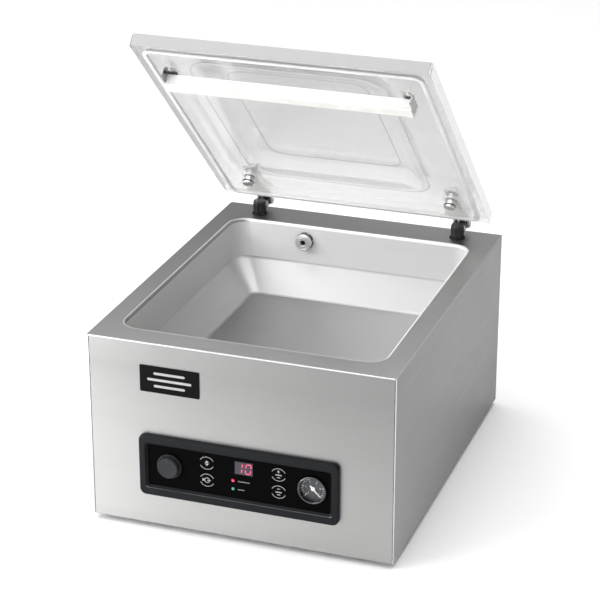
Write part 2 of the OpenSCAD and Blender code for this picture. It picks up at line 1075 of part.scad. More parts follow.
module counter_strip() {
    color("ivory")
        opened()
            block([-counter_l / 2, counter_y - counter_deep / 2, counter_low],
                [counter_l / 2, counter_y + counter_deep / 2, counter_low + 5]);
}

// Bent steel clips that carry the ends of the counter bar
module bar_clips() {
    back = counter_y + counter_deep / 2;
    color("silver")
        opened()
            for (sx = [-1, 1])
                scale([sx, 1, 1])
                    difference() {
                        union() {
                            block([counter_l / 2, clip_screw_y - 6, counter_top - 14],
                                [counter_l / 2 + clip_t, back, lid_under]);
                            block([counter_l / 2 - 14, clip_screw_y - 8, lid_under - clip_t],
                                [counter_l / 2 + clip_t, back, lid_under]);
                        }
                        translate([clip_screw_x, clip_screw_y, lid_under - 5])
                            cylinder(h = 10, r = 2);
                    }
}

module clip_screws() {
    color("gray")
        opened()
            both_sides(clip_screw_x)
                translate([0, clip_screw_y, lid_under - clip_t]) {
                    cylinder(h = 10, r = 2);
                    translate([0, 0, -2.4])
                        cylinder(h = 2.4, r = 3.8);
                }
}

// ---- inside the housing ----

module pump_body() {
    color("slategray")
        difference() {
            union() {
                translate([pump_x, pump_y, pump_low])
                    round_plate(pump_l, pump_w, pump_h, 8);
                for (i = [-4 : 4])
                    translate([pump_x + i * 14 - 1.5, pump_y - pump_w / 2 + 6, pump_low + pump_h - 1])
                        cube([3, pump_w - 50, 9]);
                translate([nozzle_x, pump_y + 40, pump_low])
                    cylinder(h = pump_h + 16, r = 13);
                translate([pump_x - pump_l / 2 - 4, pump_y, motor_z])
                    rotate([0, 90, 0])
                        cylinder(h = 10, r = 34);
            }
            translate([motor_x0, pump_y, motor_z])
                bar_along_x(-22, 1, shaft_r + slip);
            translate([nozzle_x, pump_y + 40, pump_low + pump_h])
                cylinder(h = 17, r = hose_r);
        }
}

module pump_buffers() {
    color("#222222")
        for (sx = [-1, 1], sy = [-1, 1])
            translate([pump_x + sx * (pump_l / 2 - 16), pump_y + sy * 42, base_top])
                cylinder(h = pump_low - base_top, r = 11);
}

module motor_housing() {
    fins = 18;
    fan_x = motor_x1 - 2;
    color("steelblue")
        translate([0, pump_y, motor_z])
            difference() {
                union() {
                    bar_along_x(motor_x0, motor_x1, motor_r - 5);
                    for (i = [0 : fins - 1])
                        rotate([i * 360 / fins, 0, 0])
                            translate([motor_x0 + 14, -1.2, 0])
                                cube([motor_x1 - motor_x0 - 28, 2.4, motor_r]);
                    bar_along_x(motor_x0, motor_x0 + 10, motor_r);
                    bar_along_x(motor_x1 - 4, motor_x1 + 26, motor_r);
                    translate([motor_x0 + 40, -22, motor_r - 12])
                        cube([50, 44, 22]);
                    for (sy = [-1, 1])
                        translate([motor_x0 + 50, sy * 34 - 8, base_top - motor_z])
                            cube([40, 16, 40]);
                }
                bar_along_x(motor_x0 - 1, motor_x1 + 1, shaft_r + slip);
                bar_along_x(motor_x0 + 9, motor_x1 - 8, 31);
                bar_along_x(motor_x1, motor_x1 + 24, motor_r - 3);
                for (i = [-3 : 3])
                    translate([fan_x + 20, -30, i * 9 - 2])
                        cube([12, 60, 4]);
            }
}

module motor_rotor() {
    blades = 7;
    fan_x = motor_x1 + 6;
    color("lightsteelblue")
        translate([0, pump_y, motor_z]) {
            bar_along_x(motor_x0 - 20, fan_x + 14, shaft_r);
            bar_along_x(motor_x0 + 14, motor_x1 - 14, 30);
            bar_along_x(fan_x, fan_x + 12, 13);
            for (i = [0 : blades - 1])
                rotate([i * 360 / blades, 0, 0])
                    translate([fan_x, -1, 10])
                        cube([11, 2, 30]);
        }
}

module exhaust_filter() {
    filter_y = pump_y + 94;
    filter_h = 118;
    color("white") {
        translate([pump_x - 40, filter_y, base_top])
            cylinder(h = filter_h, r = 28);
        translate([pump_x - 40, filter_y, base_top + filter_h])
            cylinder(h = 6, r = 12);
        translate([pump_x - 40, pump_y + 60, pump_low + 70])
            rotate([-90, 0, 0])
                cylinder(h = 20, r = 9);
    }
}

// Quarter bend of the hose, from local +Y round to local -X
module hose_bend() {
    rotate_extrude(angle = 90)
        translate([hose_bend_r, 0])
            circle(hose_r);
}

module vacuum_hose() {
    port_y = pump_y + 40;
    valve_low = hose_low + hose_bend_r + 20;
    color("#2a2a2a")
        difference() {
            translate([nozzle_x, 0, 0]) {
                translate([0, hose_y - hose_bend_r, nozzle_z - hose_bend_r])
                    rotate([0, 0, 90])
                        rotate([90, 0, 0])
                            hose_bend();
                translate([0, hose_y, valve_low + valve_h])
                    cylinder(h = nozzle_z - hose_bend_r - valve_low - valve_h, r = hose_r);
                translate([0, hose_y, hose_low + hose_bend_r])
                    cylinder(h = valve_low - hose_low - hose_bend_r, r = hose_r);
                translate([0, hose_y - hose_bend_r, hose_low + hose_bend_r])
                    rotate([0, 0, 90])
                        rotate([90, 0, 0])
                            rotate([0, 0, -90])
                                hose_bend();
                translate([0, port_y + hose_bend_r, hose_low])
                    rotate([-90, 0, 0])
                        cylinder(h = hose_y - port_y - 2 * hose_bend_r, r = hose_r);
                translate([0, port_y + hose_bend_r, hose_low - hose_bend_r])
                    rotate([0, 0, 90])
                        rotate([90, 0, 0])
                            rotate([0, 0, 90])
                                hose_bend();
                translate([0, port_y, pump_low + pump_h + 2])
                    cylinder(h = hose_low - hose_bend_r - pump_low - pump_h - 2, r = hose_r);
            }
            translate([nozzle_x, chamber_back + 2, nozzle_z])
                rotate([-90, 0, 0])
                    cylinder(h = 16, r = 6);
        }
}

module solenoid_valve() {
    low_z = hose_low + hose_bend_r + 20;
    color("dimgray") {
        translate([nozzle_x - 15, hose_y - 12, low_z])
            cube([30, 26, valve_h]);
        translate([nozzle_x + 14, hose_y, low_z + valve_h / 2])
            bar_along_x(0, 32, 14);
    }
}

module seal_transformer() {
    color("#8a6a3a") {
        block([95, -150, base_top], [165, -90, base_top + 80]);
        block([84, -140, base_top + 18], [176, -100, base_top + 62]);
        block([90, -158, base_top], [170, -82, base_top + 4]);
    }
}

// Mains inlet socket with three blades in its recess
module mains_inlet() {
    color("#1c1c1c")
        translate([inlet_x, rear_y, inlet_z])
            rotate([-90, 0, 0])
                difference() {
                    union() {
                        round_plate(48, 26, inlet_out, 4);
                        translate([0, 0, -20])
                            round_plate(27.4, 20.4, 20.1, 2.8);
                        for (i = [-1 : 1])
                            translate([i * 7 - 2, -0.5, -30])
                                cube([4, 1, 10.1]);
                    }
                    difference() {
                        translate([0, 0, -16])
                            round_plate(24, 16.6, 20, 2);
                        for (i = [-1 : 1])
                            translate([i * 7 - 1, (i == 0 ? 2 : -2) - 2, -17])
                                cube([2, 4, 11]);
                    }
                    both_sides(20)
                        translate([0, 0, -1])
                            cylinder(h = 5, r = 1.7);
                }
}

placed() top_deck();
placed() chamber_pan();
placed() front_panel();
placed() left_panel();
placed() right_panel();
placed() rear_panel();
placed() base_plate();
placed() feet();
placed() foot_screws();
placed() rear_screws();
placed() badge_plate();
placed() control_bezel();
placed() control_fascia();
placed() display_window();
placed() display_digits();
placed() red_lamp();
placed() green_lamp();
placed() gauge_case();
placed() gauge_dial();
placed() gauge_lens();
placed() gauge_ring();
placed() gauge_pointer();
placed() switch_knob();
placed() switch_body();
placed() key_left_low();
placed() key_left_high();
placed() key_right_low();
placed() key_right_high();
placed() control_board();
placed() suction_nozzle();
placed() nozzle_ring();
placed() hinge_posts();
placed() post_grommets();
placed() post_nuts();
placed() hinge_springs();
placed() hinge_brackets();
placed() hinge_pins();
placed() lid();
placed() lid_gasket();
placed() lid_bolts();
placed() bolt_washers();
placed() lid_nuts();
placed() counter_bar();
placed() counter_strip();
placed() bar_clips();
placed() clip_screws();
placed() seal_bar();
placed() seal_wires();
placed() seal_tape();
placed() lift_rods();
placed() lift_cylinders();
placed() pump_body();
placed() pump_buffers();
placed() motor_housing();
placed() motor_rotor();
placed() exhaust_filter();
placed() vacuum_hose();
placed() solenoid_valve();
placed() seal_transformer();
placed() mains_inlet();
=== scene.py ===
"""Looks of the tabletop chamber vacuum sealer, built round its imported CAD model.

Everything is in metres in the CAD frame: +X right seen from the front, +Y back, +Z up.
Lid pieces are drawn for the closed lid and turned open by the hinge's own angle.
"""
import json
import math

import bmesh
import bpy
from mathutils import Matrix, Vector


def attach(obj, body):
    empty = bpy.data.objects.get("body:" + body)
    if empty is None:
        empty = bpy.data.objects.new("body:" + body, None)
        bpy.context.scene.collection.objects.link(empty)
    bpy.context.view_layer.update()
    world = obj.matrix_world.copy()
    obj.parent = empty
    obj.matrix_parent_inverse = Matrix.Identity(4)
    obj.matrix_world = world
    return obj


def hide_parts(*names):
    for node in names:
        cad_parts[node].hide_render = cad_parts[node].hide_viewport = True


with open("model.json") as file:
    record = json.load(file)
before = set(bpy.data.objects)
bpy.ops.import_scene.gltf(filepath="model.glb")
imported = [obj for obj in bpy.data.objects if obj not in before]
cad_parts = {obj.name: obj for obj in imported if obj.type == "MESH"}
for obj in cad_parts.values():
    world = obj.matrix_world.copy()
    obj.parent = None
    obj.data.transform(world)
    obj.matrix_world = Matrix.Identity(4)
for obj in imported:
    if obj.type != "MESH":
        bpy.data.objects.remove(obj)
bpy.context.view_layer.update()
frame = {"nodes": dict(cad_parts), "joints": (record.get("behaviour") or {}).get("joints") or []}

MM = 0.001
SHEET = 1.5 * MM
CORNER_STEPS = 10
BEVEL_OVER_DEG = 25
ON_AXIS = 1e-7


# ---------------------------------------------------------------- places

def shift(x, y, z):
    return Matrix.Translation((x, y, z))


def turn(degrees, axis):
    return Matrix.Rotation(math.radians(degrees), 4, axis)


HINGE = next(j for j in frame["joints"] if j["name"] == "lid_hinge")
PIVOT = Vector(HINGE["pos_m"])
OPENED = shift(*PIVOT) @ turn(-HINGE["range_deg"][1], "X") @ shift(*-PIVOT)
CLOSED = OPENED.inverted()


def box_of(node, closed=False, side=0):
    """Lowest and highest corner of a CAD node; closed measures a lid node on the closed lid,
    and side keeps only the half with positive or negative X."""
    points = [v.co for v in frame["nodes"][node].data.vertices]
    if side:
        points = [p for p in points if p.x * side > 0]
    if closed:
        points = [CLOSED @ p for p in points]
    low = Vector(min(p[i] for p in points) for i in range(3))
    high = Vector(max(p[i] for p in points) for i in range(3))
    return low, high


def middle(node):
    low, high = box_of(node)
    return (low + high) / 2


def halves(node, closed=True):
    """Side, lowest and highest corner, and middle of the left and the right half of a node."""
    for side in (-1, 1):
        low, high = box_of(node, closed, side)
        yield side, low, high, (low + high) / 2


FRONT_Y = box_of("front_panel")[0].y
DECK_Z = box_of("top_deck")[1].z


def on_front(x, z):
    """Local Z points out of the front panel, local X right and local Y up."""
    return shift(x, FRONT_Y, z) @ turn(90, "X")


def out_of_front(y):
    """How far a depth lies in front of the front panel's face."""
    return FRONT_Y - y


# ---------------------------------------------------------------- materials

def shader(name):
    """A material with its node tree and its Principled shader."""
    made = bpy.data.materials.new(name)
    made.use_nodes = True
    tree = made.node_tree
    return made, tree, tree.nodes["Principled BSDF"]


def fill(tree, node, inputs):
    """Sets inputs of a node: another node's output is linked, anything else is the value."""
    for name, value in inputs.items():
        if isinstance(value, bpy.types.NodeSocket):
            tree.links.new(value, node.inputs[name])
        else:
            node.inputs[name].default_value = value


def added(tree, kind, inputs):
    node = tree.nodes.new(kind)
    fill(tree, node, inputs)
    return node


def calculated(tree, kind, operation, inputs, output=0):
    """The output of a Math or Vector Math node."""
    node = tree.nodes.new(kind)
    node.operation = operation
    fill(tree, node, inputs)
    return node.outputs[output]


def ranged(tree, value, start, end, low, high, soft=False):
    """Maps start..end of a value to low..high, evenly or along a soft S-curve."""
    node = tree.nodes.new("ShaderNodeMapRange")
    if soft:
        node.interpolation_type = "SMOOTHSTEP"
    fill(tree, node, {"Value": value, "From Min": start, "From Max": end, "To Min": low, "To Max": high})
    return node.outputs["Result"]


def grain(tree, scale, stretch=(1, 1, 1), detail=4, rough=0.55):
    """A noise laid in the piece's own coordinates, stretched along an axis for brushed metal."""
    place = tree.nodes.new("ShaderNodeTexCoord")
    mapping = added(tree, "ShaderNodeMapping", {"Vector": place.outputs["Object"], "Scale": stretch})
    noise = added(tree, "ShaderNodeTexNoise", {"Vector": mapping.outputs["Vector"], "Scale": scale,
                                               "Detail": detail, "Roughness": rough})
    return noise.outputs["Fac"]


def spread(tree, value, low, high):
    """Maps the middle of a noise, where nearly all of it lies, to the range low..high."""
    noise_low, noise_high = 0.3, 0.7
    return ranged(tree, value, noise_low, noise_high, low, high)


def tinted(tree, value, dark, light):
    """Blends two colours by a noise."""
    node = tree.nodes.new("ShaderNodeMix")
    node.data_type = "RGBA"
    fill(tree, node, {"Factor": spread(tree, value, 0, 1), "A": (*dark, 1), "B": (*light, 1)})
    return node.outputs["Result"]


def bumped(tree, target, value, depth, soft_edge=0.0):
    """Bump from a noise; soft_edge rounds the sharp edges of a plain CAD node."""
    bump = added(tree, "ShaderNodeBump", {"Distance": depth, "Height": value})
    if soft_edge:
        edge = added(tree, "ShaderNodeBevel", {"Radius": soft_edge})
        edge.samples = 4
        fill(tree, bump, {"Normal": edge.outputs["Normal"]})
    fill(tree, target, {"Normal": bump.outputs["Normal"]})


def scaled(colour, factor):
    return tuple(min(1.0, c * factor) for c in colour)


def painted_light_factor(tree, axes, low, high, corners):
    """Painted light and shade: a factor that changes evenly over a sheet, by its place or by the way it
    faces.
    Corners run low-low, high-low, low-high and high-high, between the low and high value on each axis."""
    where = tree.nodes.new("ShaderNodeTexCoord")
    shares = []
    for (source, axis), start, end in zip(axes, low, high):
        split = added(tree, "ShaderNodeSeparateXYZ", {"Vector": where.outputs[source]})
        shares.append(ranged(tree, split.outputs[axis], start, end, 0, 1))
    rows = [ranged(tree, shares[0], 0, 1, *ends) for ends in (corners[:2], corners[2:])]
    return ranged(tree, shares[1], 0, 1, *rows)


def with_painted_light(tree, colour, tone):
    """The colour scaled by painted light and shade, when a tone holds the arguments for it."""
    if not tone:
        return colour
    inputs = {0: colour, "Scale": painted_light_factor(tree, *tone)}
    return calculated(tree, "ShaderNodeVectorMath", "SCALE", inputs)


def brushed(name, colour, rough, along, soft_edge=0.0, streak=0.03, depth=1.2e-5, tone=None,
            metallic=1.0):
    """Brushed stainless steel: long fine streaks along one axis, with a soft cloud over them."""
    across_streak, along_streak, streak_share = 700, 9, 0.75
    made, tree, target = shader(name)
    stretch = [across_streak] * 3
    stretch["XYZ".index(along)] = along_streak
    streaks = grain(tree, 1.0, stretch, detail=5)
    clouds = calculated(tree, "ShaderNodeMath", "MULTIPLY",
                        {0: grain(tree, 7.0, detail=2), 1: 1 - streak_share})
    both = calculated(tree, "ShaderNodeMath", "MULTIPLY_ADD", {0: streaks, 1: streak_share, 2: clouds})
    base = tinted(tree, both, scaled(colour, 1 - streak), scaled(colour, 1 + streak))
    # A tone, where given, lays painted light and shade over the sheet's colour
    fill(tree, target, {"Base Color": with_painted_light(tree, base, tone), "Metallic": metallic,
                        "Roughness": spread(tree, both, rough - 0.06, rough + 0.06)})
    bumped(tree, target, streaks, depth, soft_edge)
    return made


def metal(name, colour, rough, soft_edge=0.0, scale=260.0, depth=3e-5):
    """Turned, ground or cast metal with a fine even grain."""
    made, tree, target = shader(name)
    fine = grain(tree, scale)
    base = tinted(tree, grain(tree, 40.0), scaled(colour, 0.93), scaled(colour, 1.05))
    fill(tree, target, {"Base Color": base, "Metallic": 1.0,
                        "Roughness": spread(tree, fine, rough * 0.8, rough * 1.2)})
    bumped(tree, target, fine, depth, soft_edge)
    return made


def plastic(name, colour, rough, depth=3e-5, scale=1400.0, soft_edge=0.0, shine=0.5, vary=0.06):
    """Moulded plastic, rubber or paint with a fine grain and a slight change of tone."""
    made, tree, target = shader(name)
    fine = grain(tree, scale, detail=3)
    base = tinted(tree, grain(tree, 60.0, detail=3), scaled(colour, 1 - vary), scaled(colour, 1 + vary))
    fill(tree, target, {"Base Color": base, "Specular IOR Level": shine,
                        "Roughness": spread(tree, fine, rough * 0.85, rough * 1.15)})
    bumped(tree, target, fine, depth, soft_edge)
    return made


def clear(name, colour, rough, ior, alpha, haze_scale=30.0, tone=None):
    """Clear acrylic or glass with a slight unevenness of the polish."""
    made, tree, target = shader(name)
    uneven = grain(tree, haze_scale, detail=2)
    base = tinted(tree, uneven, scaled(colour, 0.985), scaled(colour, 1.01))
    # A tone, where given, lays painted light and shade over the pane's colour
    fill(tree, target, {"Base Color": with_painted_light(tree, base, tone), "IOR": ior, "Alpha": alpha,
                        "Transmission Weight": 1.0,
                        "Roughness": spread(tree, uneven, rough * 0.6, rough * 1.4)})
    return made


def lit(name, colour, strength, rough=0.3):
    """A lit lamp or display segment in tinted plastic."""
    made, tree, target = shader(name)
    glow = tinted(tree, grain(tree, 900.0, detail=2), scaled(colour, 0.85), colour)
    fill(tree, target, {"Base Color": glow, "Emission Color": glow, "Emission Strength": strength,
                        "Roughness": rough})
    return made


# What a tone of painted light and shade follows: the place on a piece, or the way that the surface faces
PLACE_X, PLACE_Y, PLACE_Z = ("Object", "X"), ("Object", "Y"), ("Object", "Z")
FACING_X, FACING_Z = ("Normal", "X"), ("Normal", "Z")


def grey(value):
    return value, value, value


# Smoother steel for the folded edges, its lighter colour a painted highlight along them
STEEL_EDGE_HIGHLIGHT = metal("steel_edge_highlight", grey(0.62), 0.3)
# Front sheet: painted light, lightest at the lower left, and painted shade towards the top
STEEL_FRONT_PAINTED_LIGHT = brushed("steel_front_painted_light", (0.29, 0.29, 0.287), 0.40, "X",
                      tone=((PLACE_X, PLACE_Z), (-0.21, 0.02), (0.21, 0.236), (1.75, 1.26, 0.83, 0.82)))
# Deck: painted light towards the front right, and painted shade towards the rear left
STEEL_DECK_PAINTED_LIGHT = brushed("steel_deck_painted_light", grey(0.46), 0.34, "X",
                     tone=((PLACE_X, PLACE_Y), (-0.2, -0.26), (0.2, 0.25), (1.08, 1.45, 0.64, 1.0)))
# Chamber floor and slopes: painted light and shade by side and by the way each face tilts
STEEL_CHAMBER_PAINTED_LIGHT = brushed("steel_chamber_painted_light", grey(0.43), 0.48, "X",
                        tone=((PLACE_X, FACING_Z), (-0.14, 0.75), (0.14, 1.0), (1.25, 1.12, 0.66, 1.38)))
# Chamber walls: a lighter, less metallic copy of the chamber steel, with painted light and shade by side
# and by the way each wall faces
STEEL_WALL_PAINTED_LIGHT = brushed("steel_wall_painted_light", grey(0.82), 0.52, "X", metallic=0.3,
                     tone=((PLACE_X, FACING_X), (-0.18, -1.0), (0.18, 1.0), (1.75, 1.2, 0.70, 0.5)))
# Rolled rim: a lighter, less metallic copy, with painted shade over its highlight on the left and painted
# light at the back
STEEL_RIM_PAINTED_LIGHT = brushed("steel_rim_painted_light", grey(0.80), 0.50, "X", metallic=0.3,
                    tone=((FACING_X, PLACE_Y), (0.0, -0.25), (0.45, 0.2), (0.8, 0.24, 1.15, 0.33)))
# Side sheets: painted light low at the front, and painted shade towards the rear and the top
STEEL_SIDE_PAINTED_LIGHT = brushed("steel_side_painted_light", (0.24, 0.24, 0.244), 0.38, "Y",
                     tone=((PLACE_Y, PLACE_Z), (-0.26, 0.02), (0.26, 0.25), (1.42, 0.60, 0.85, 0.64)))
SATIN_STEEL = metal("satin_steel", (0.78, 0.79, 0.79), 0.48)
STEEL_BACK = brushed("steel_back", grey(0.42), 0.40, "X", soft_edge=0.0004)
STEEL_PART = metal("steel_part", (0.52, 0.52, 0.51), 0.28, soft_edge=0.0004)
STEEL_BRIGHT = metal("steel_bright", grey(0.66), 0.14, soft_edge=0.0003)
# Hinge leaf: steel given a near-white plastic colour, painted light where little light reaches its
# underside through the lid
STEEL_LEAF_PAINTED_LIGHT = plastic("steel_leaf_painted_light", (0.93, 0.92, 0.88), 0.42, shine=0.6)
# Steel darkened to near black: painted shade and painted reflection, on the gauge ring and the nozzle's
# lock ring
SHADED_STEEL = metal("shaded_steel", (0.09, 0.09, 0.095), 0.14)
SPRING_STEEL = metal("spring_steel", (0.05, 0.05, 0.052), 0.35)
ALUMINIUM = metal("aluminium", (0.55, 0.55, 0.56), 0.34, soft_edge=0.0003)
# Lid acrylic: painted light, lighter towards the left and lower down
ACRYLIC_PAINTED_LIGHT = clear("acrylic", grey(0.65), 0.03, 1.28, 0.55,
                tone=((PLACE_X, PLACE_Z), (-0.15, 0.31), (0.2, 0.42), (1.5, 1.2, 1.08, 1.0)))
# Faces along the lid's folds: a dark copy of the acrylic, painting shade lines there
ACRYLIC_FOLD_SHADE = clear("acrylic_fold_shade", grey(0.08), 0.03, 1.28, 0.55)
# The lid's cut edges: a pale copy of one edge plastic, painted light, and the front edge a grey copy,
# painted shade
ACRYLIC_LIT_EDGE = plastic("acrylic_lit_edge", grey(0.93), 0.45, depth=2e-5, shine=0.3, vary=0.02)
ACRYLIC_SHADED_FRONT = plastic("acrylic_shaded_front", (0.36, 0.36, 0.365), 0.45, depth=2e-5, shine=0.3, vary=0.02)
GAUGE_GLASS = clear("gauge_glass", (0.98, 0.99, 0.99), 0.01, 1.15, 0.35, haze_scale=200.0)
SILICONE = plastic("silicone", (0.66, 0.66, 0.65), 0.55, depth=2e-5, shine=0.3)
CREAM_SILICONE = plastic("cream_silicone", (0.72, 0.71, 0.69), 0.6, depth=3e-5, shine=0.3)
WHITE_BAR = plastic("white_bar", grey(0.80), 0.38, depth=1e-5)
BEZEL_PLASTIC = plastic("bezel_plastic", (0.0085, 0.0095, 0.011), 0.42, depth=4e-5, shine=0.10)
# A lighter, shinier copy of the bezel plastic: a painted highlight on the lower lip
BEZEL_LIP_HIGHLIGHT = plastic("bezel_lip_highlight", (0.03, 0.031, 0.033), 0.35, depth=2e-5, shine=0.8)
FASCIA_FILM = plastic("fascia_film", (0.002, 0.002, 0.0022), 0.30, depth=5e-6, shine=0.012)
KNOB_PLASTIC = plastic("knob_plastic", (0.014, 0.015, 0.0165), 0.45, depth=3e-5, shine=0.25)
KEY_FILM = plastic("key_film", (0.0025, 0.0025, 0.0028), 0.32, depth=5e-6, shine=0.015)
PRINT_WHITE = plastic("print_white", grey(0.36), 0.5, depth=5e-6, shine=0.2)
PRINT_GREY = plastic("print_grey", grey(0.16), 0.5, depth=5e-6, shine=0.2)
BADGE_BLACK = plastic("badge_black", grey(0.003), 0.25, depth=5e-6, shine=0.06)
RUBBER = plastic("rubber", (0.010, 0.010, 0.0105), 0.7, depth=8e-5, scale=900.0, shine=0.25)
POST_BLACK = plastic("post_black", (0.005, 0.0055, 0.005), 0.16, depth=1e-5, shine=0.7)
DARK_PLASTIC = plastic("dark_plastic", (0.016, 0.016, 0.017), 0.5, depth=6e-5, soft_edge=0.0004, shine=0.3)
DIAL_GREY = plastic("dial_grey", (0.055, 0.057, 0.06), 0.45, depth=1e-5, shine=0.3)
POINTER_WHITE = plastic("pointer_white", grey(0.85), 0.4, depth=5e-6)
BOARD_GREEN = plastic("board_green", (0.012, 0.08, 0.035), 0.35, depth=5e-5, soft_edge=0.0002)
PUMP_PAINT = plastic("pump_paint", (0.10, 0.11, 0.12), 0.45, depth=0.0003, scale=500.0, soft_edge=0.001)
MOTOR_PAINT = plastic("motor_paint", (0.04, 0.09, 0.16), 0.4, depth=0.0001, scale=500.0, soft_edge=0.0006)
FILTER_WHITE = plastic("filter_white", (0.60, 0.60, 0.58), 0.5, depth=0.0001, scale=500.0, soft_edge=0.001)
LAMINATION = brushed("lamination", (0.14, 0.10, 0.07), 0.5, "X", soft_edge=0.0004, depth=0.0002)
TAPE = plastic("tape", (0.30, 0.20, 0.11), 0.45, depth=1e-4, scale=1200.0)
WIRE = metal("wire", (0.50, 0.46, 0.40), 0.35)
DISPLAY_DARK = plastic("display_dark", (0.06, 0.052, 0.068), 0.3, depth=5e-6, shine=0.1)
DIGIT_RED = lit("digit_red", (0.62, 0.06, 0.14), 0.45)
LAMP_RED = lit("lamp_red", (0.80, 0.04, 0.10), 0.45)
LAMP_GREEN = lit("lamp_green", (0.08, 0.30, 0.20), 0.3)


# ---------------------------------------------------------------- mesh tools

# Lays a flat outline in the Y-Z plane, with its thickness along X
YZ = Matrix(((0, 0, 1, 0), (1, 0, 0, 0), (0, 1, 0, 0), (0, 0, 0, 1)))
# Lays a flat outline in the X-Z plane, with its thickness along Y
XZ = Matrix(((1, 0, 0, 0), (0, 0, 1, 0), (0, 1, 0, 0), (0, 0, 0, 1)))


def bar(left, low, right, high):
    return [(left, low), (right, low), (right, high), (left, high)]


def in_mm(*points):
    return [tuple(c * MM for c in p) for p in points]


def quarter(steps, first=0):
    """Cosine and sine at even steps over a quarter turn."""
    angles = [math.radians(90 * i / steps) for i in range(first, steps + 1)]
    return [(math.cos(a), math.sin(a)) for a in angles]


def arc(radius, start, end, step=15):
    """Points along an arc, at every step of so many degrees."""
    angles = [math.radians(a) for a in range(start, end + 1, step)]
    return [(radius * math.cos(a), radius * math.sin(a)) for a in angles]


def hexagon(half_width):
    """Outline of a nut by half its width across the flats."""
    return arc(half_width / math.cos(math.radians(30)), 0, 300, step=60)


def round_loop(width, depth, radius, steps=CORNER_STEPS):
    """Points round a rectangle with round corners, anticlockwise."""
    radius = max(radius, 0.01 * MM)
    points = []
    for corner, (sx, sy) in enumerate(((1, 1), (-1, 1), (-1, -1), (1, -1))):
        for i in range(steps + 1):
            a = math.radians(90 * (corner + i / steps))
            points.append((sx * (width / 2 - radius) + radius * math.cos(a),
                           sy * (depth / 2 - radius) + radius * math.sin(a)))
    return points


def ring(width, depth, radius, z, centre=(0, 0), steps=CORNER_STEPS):
    cx, cy = centre
    return [Vector((x + cx, y + cy, z)) for x, y in round_loop(width, depth, radius, steps)]


def polar_ring(count, z, radius_at):
    """Points at even angles; radius_at gives the radius for a step and its angle."""
    points = []
    for i in range(count):
        a = 2 * math.pi * i / count
        r = radius_at(i, a)
        points.append(Vector((r * math.cos(a), r * math.sin(a), z)))
    return points


def bend(ring_at, centre, radius, start, end, steps=6):
    """Rings along an arc of the section: ring_at(inset, height) draws one, and the arc's
    angles are measured from the inset axis."""
    rings = []
    for i in range(steps + 1):
        a = math.radians(start + (end - start) * i / steps)
        rings.append(ring_at(centre[0] + radius * math.cos(a), centre[1] + radius * math.sin(a)))
    return rings


def add_loft(bm, rings, at=Matrix(), cap_first=False, cap_last=False, closed=False):
    """Skins a list of rings that have the same number of points."""
    rows = [[bm.verts.new(at @ p) for p in r] for r in rings]
    pairs = list(zip(rows, rows[1:]))
    if closed:
        pairs.append((rows[-1], rows[0]))
    for lower, upper in pairs:
        count = len(lower)
        for i in range(count):
            j = (i + 1) % count
            bm.faces.new((lower[i], lower[j], upper[j], upper[i]))
    if cap_first:
        bm.faces.new(rows[0][::-1])
    if cap_last:
        bm.faces.new(rows[-1])


def add_lathe(bm, profile, at=Matrix(), steps=64, closed=False):
    """Turns (radius, height) points round local Z. A radius of 0 closes the end."""
    rows = []
    for r, z in profile:
        if r < ON_AXIS:
            rows.append([bm.verts.new(at @ Vector((0, 0, z)))])
            continue
        rows.append([bm.verts.new(at @ p) for p in polar_ring(steps, z, lambda _, a: r)])
    pairs = list(zip(rows, rows[1:]))
    if closed:
        pairs.append((rows[-1], rows[0]))
    for lower, upper in pairs:
        for i in range(steps):
            j = (i + 1) % steps
            corners = [lower[i % len(lower)], lower[j % len(lower)],
                       upper[j % len(upper)], upper[i % len(upper)]]
            distinct = [v for k, v in enumerate(corners) if v not in corners[:k]]
            if len(distinct) > 2:
                bm.faces.new(distinct)


def rounded_profile(radius, low, high, edge, steps=4, inner=0.0):
    """Section of a disc or ring from low to high with its outer edges rounded."""
    points = [(inner, low)]
    for cz, start in ((low + edge, -90), (high - edge, 0)):
        for i in range(steps + 1):
            a = math.radians(start + 90 * i / steps)
            points.append((radius - edge + edge * math.cos(a), cz + edge * math.sin(a)))
    points.append((inner, high))
    return points


def add_disc(bm, radius, low, high, edge, at=Matrix(), steps=64, inner=0.0):
    add_lathe(bm, rounded_profile(radius, low, high, edge, inner=inner), at, steps, closed=inner > 0)


def add_rod(bm, radius, start, end, at=Matrix(), steps=24):
    add_lathe(bm, [(0, start), (radius, start), (radius, end), (0, end)], at, steps)


def add_prism(bm, outline, low, high, at=Matrix(), bevel=0.0, segments=2):
    """Extrudes a flat outline along local Z, with its edges bevelled."""
    part = bmesh.new()
    bottom = [part.verts.new((x, y, low)) for x, y in outline]
    top = [part.verts.new((x, y, high)) for x, y in outline]
    part.faces.new(bottom[::-1])
    part.faces.new(top)
    for i in range(len(outline)):
        j = (i + 1) % len(outline)
        part.faces.new((bottom[i], bottom[j], top[j], top[i]))
    merge(bm, part, at, bevel, segments)


def add_box(bm, low, high, at=Matrix(), bevel=0.3 * MM, segments=2):
    add_prism(bm, bar(*low[:2], *high[:2]), low[2], high[2], at, bevel, segments)


def merge(bm, part, at=Matrix(), bevel=0.0, segments=2):
    """Bevels the sharp edges of part and adds it to bm."""
    bmesh.ops.recalc_face_normals(part, faces=part.faces)
    if bevel:
        limit = math.radians(BEVEL_OVER_DEG)
        sharp = [e for e in part.edges if e.is_manifold and e.calc_face_angle() > limit]
        bmesh.ops.bevel(
            part, geom=sharp, offset=bevel, segments=segments, profile=0.5, affect="EDGES",
            clamp_overlap=True,
        )
    part.transform(at)
    scratch = bpy.data.meshes.new("scratch")
    part.to_mesh(scratch)
    part.free()
    bm.from_mesh(scratch)
    bpy.data.meshes.remove(scratch)


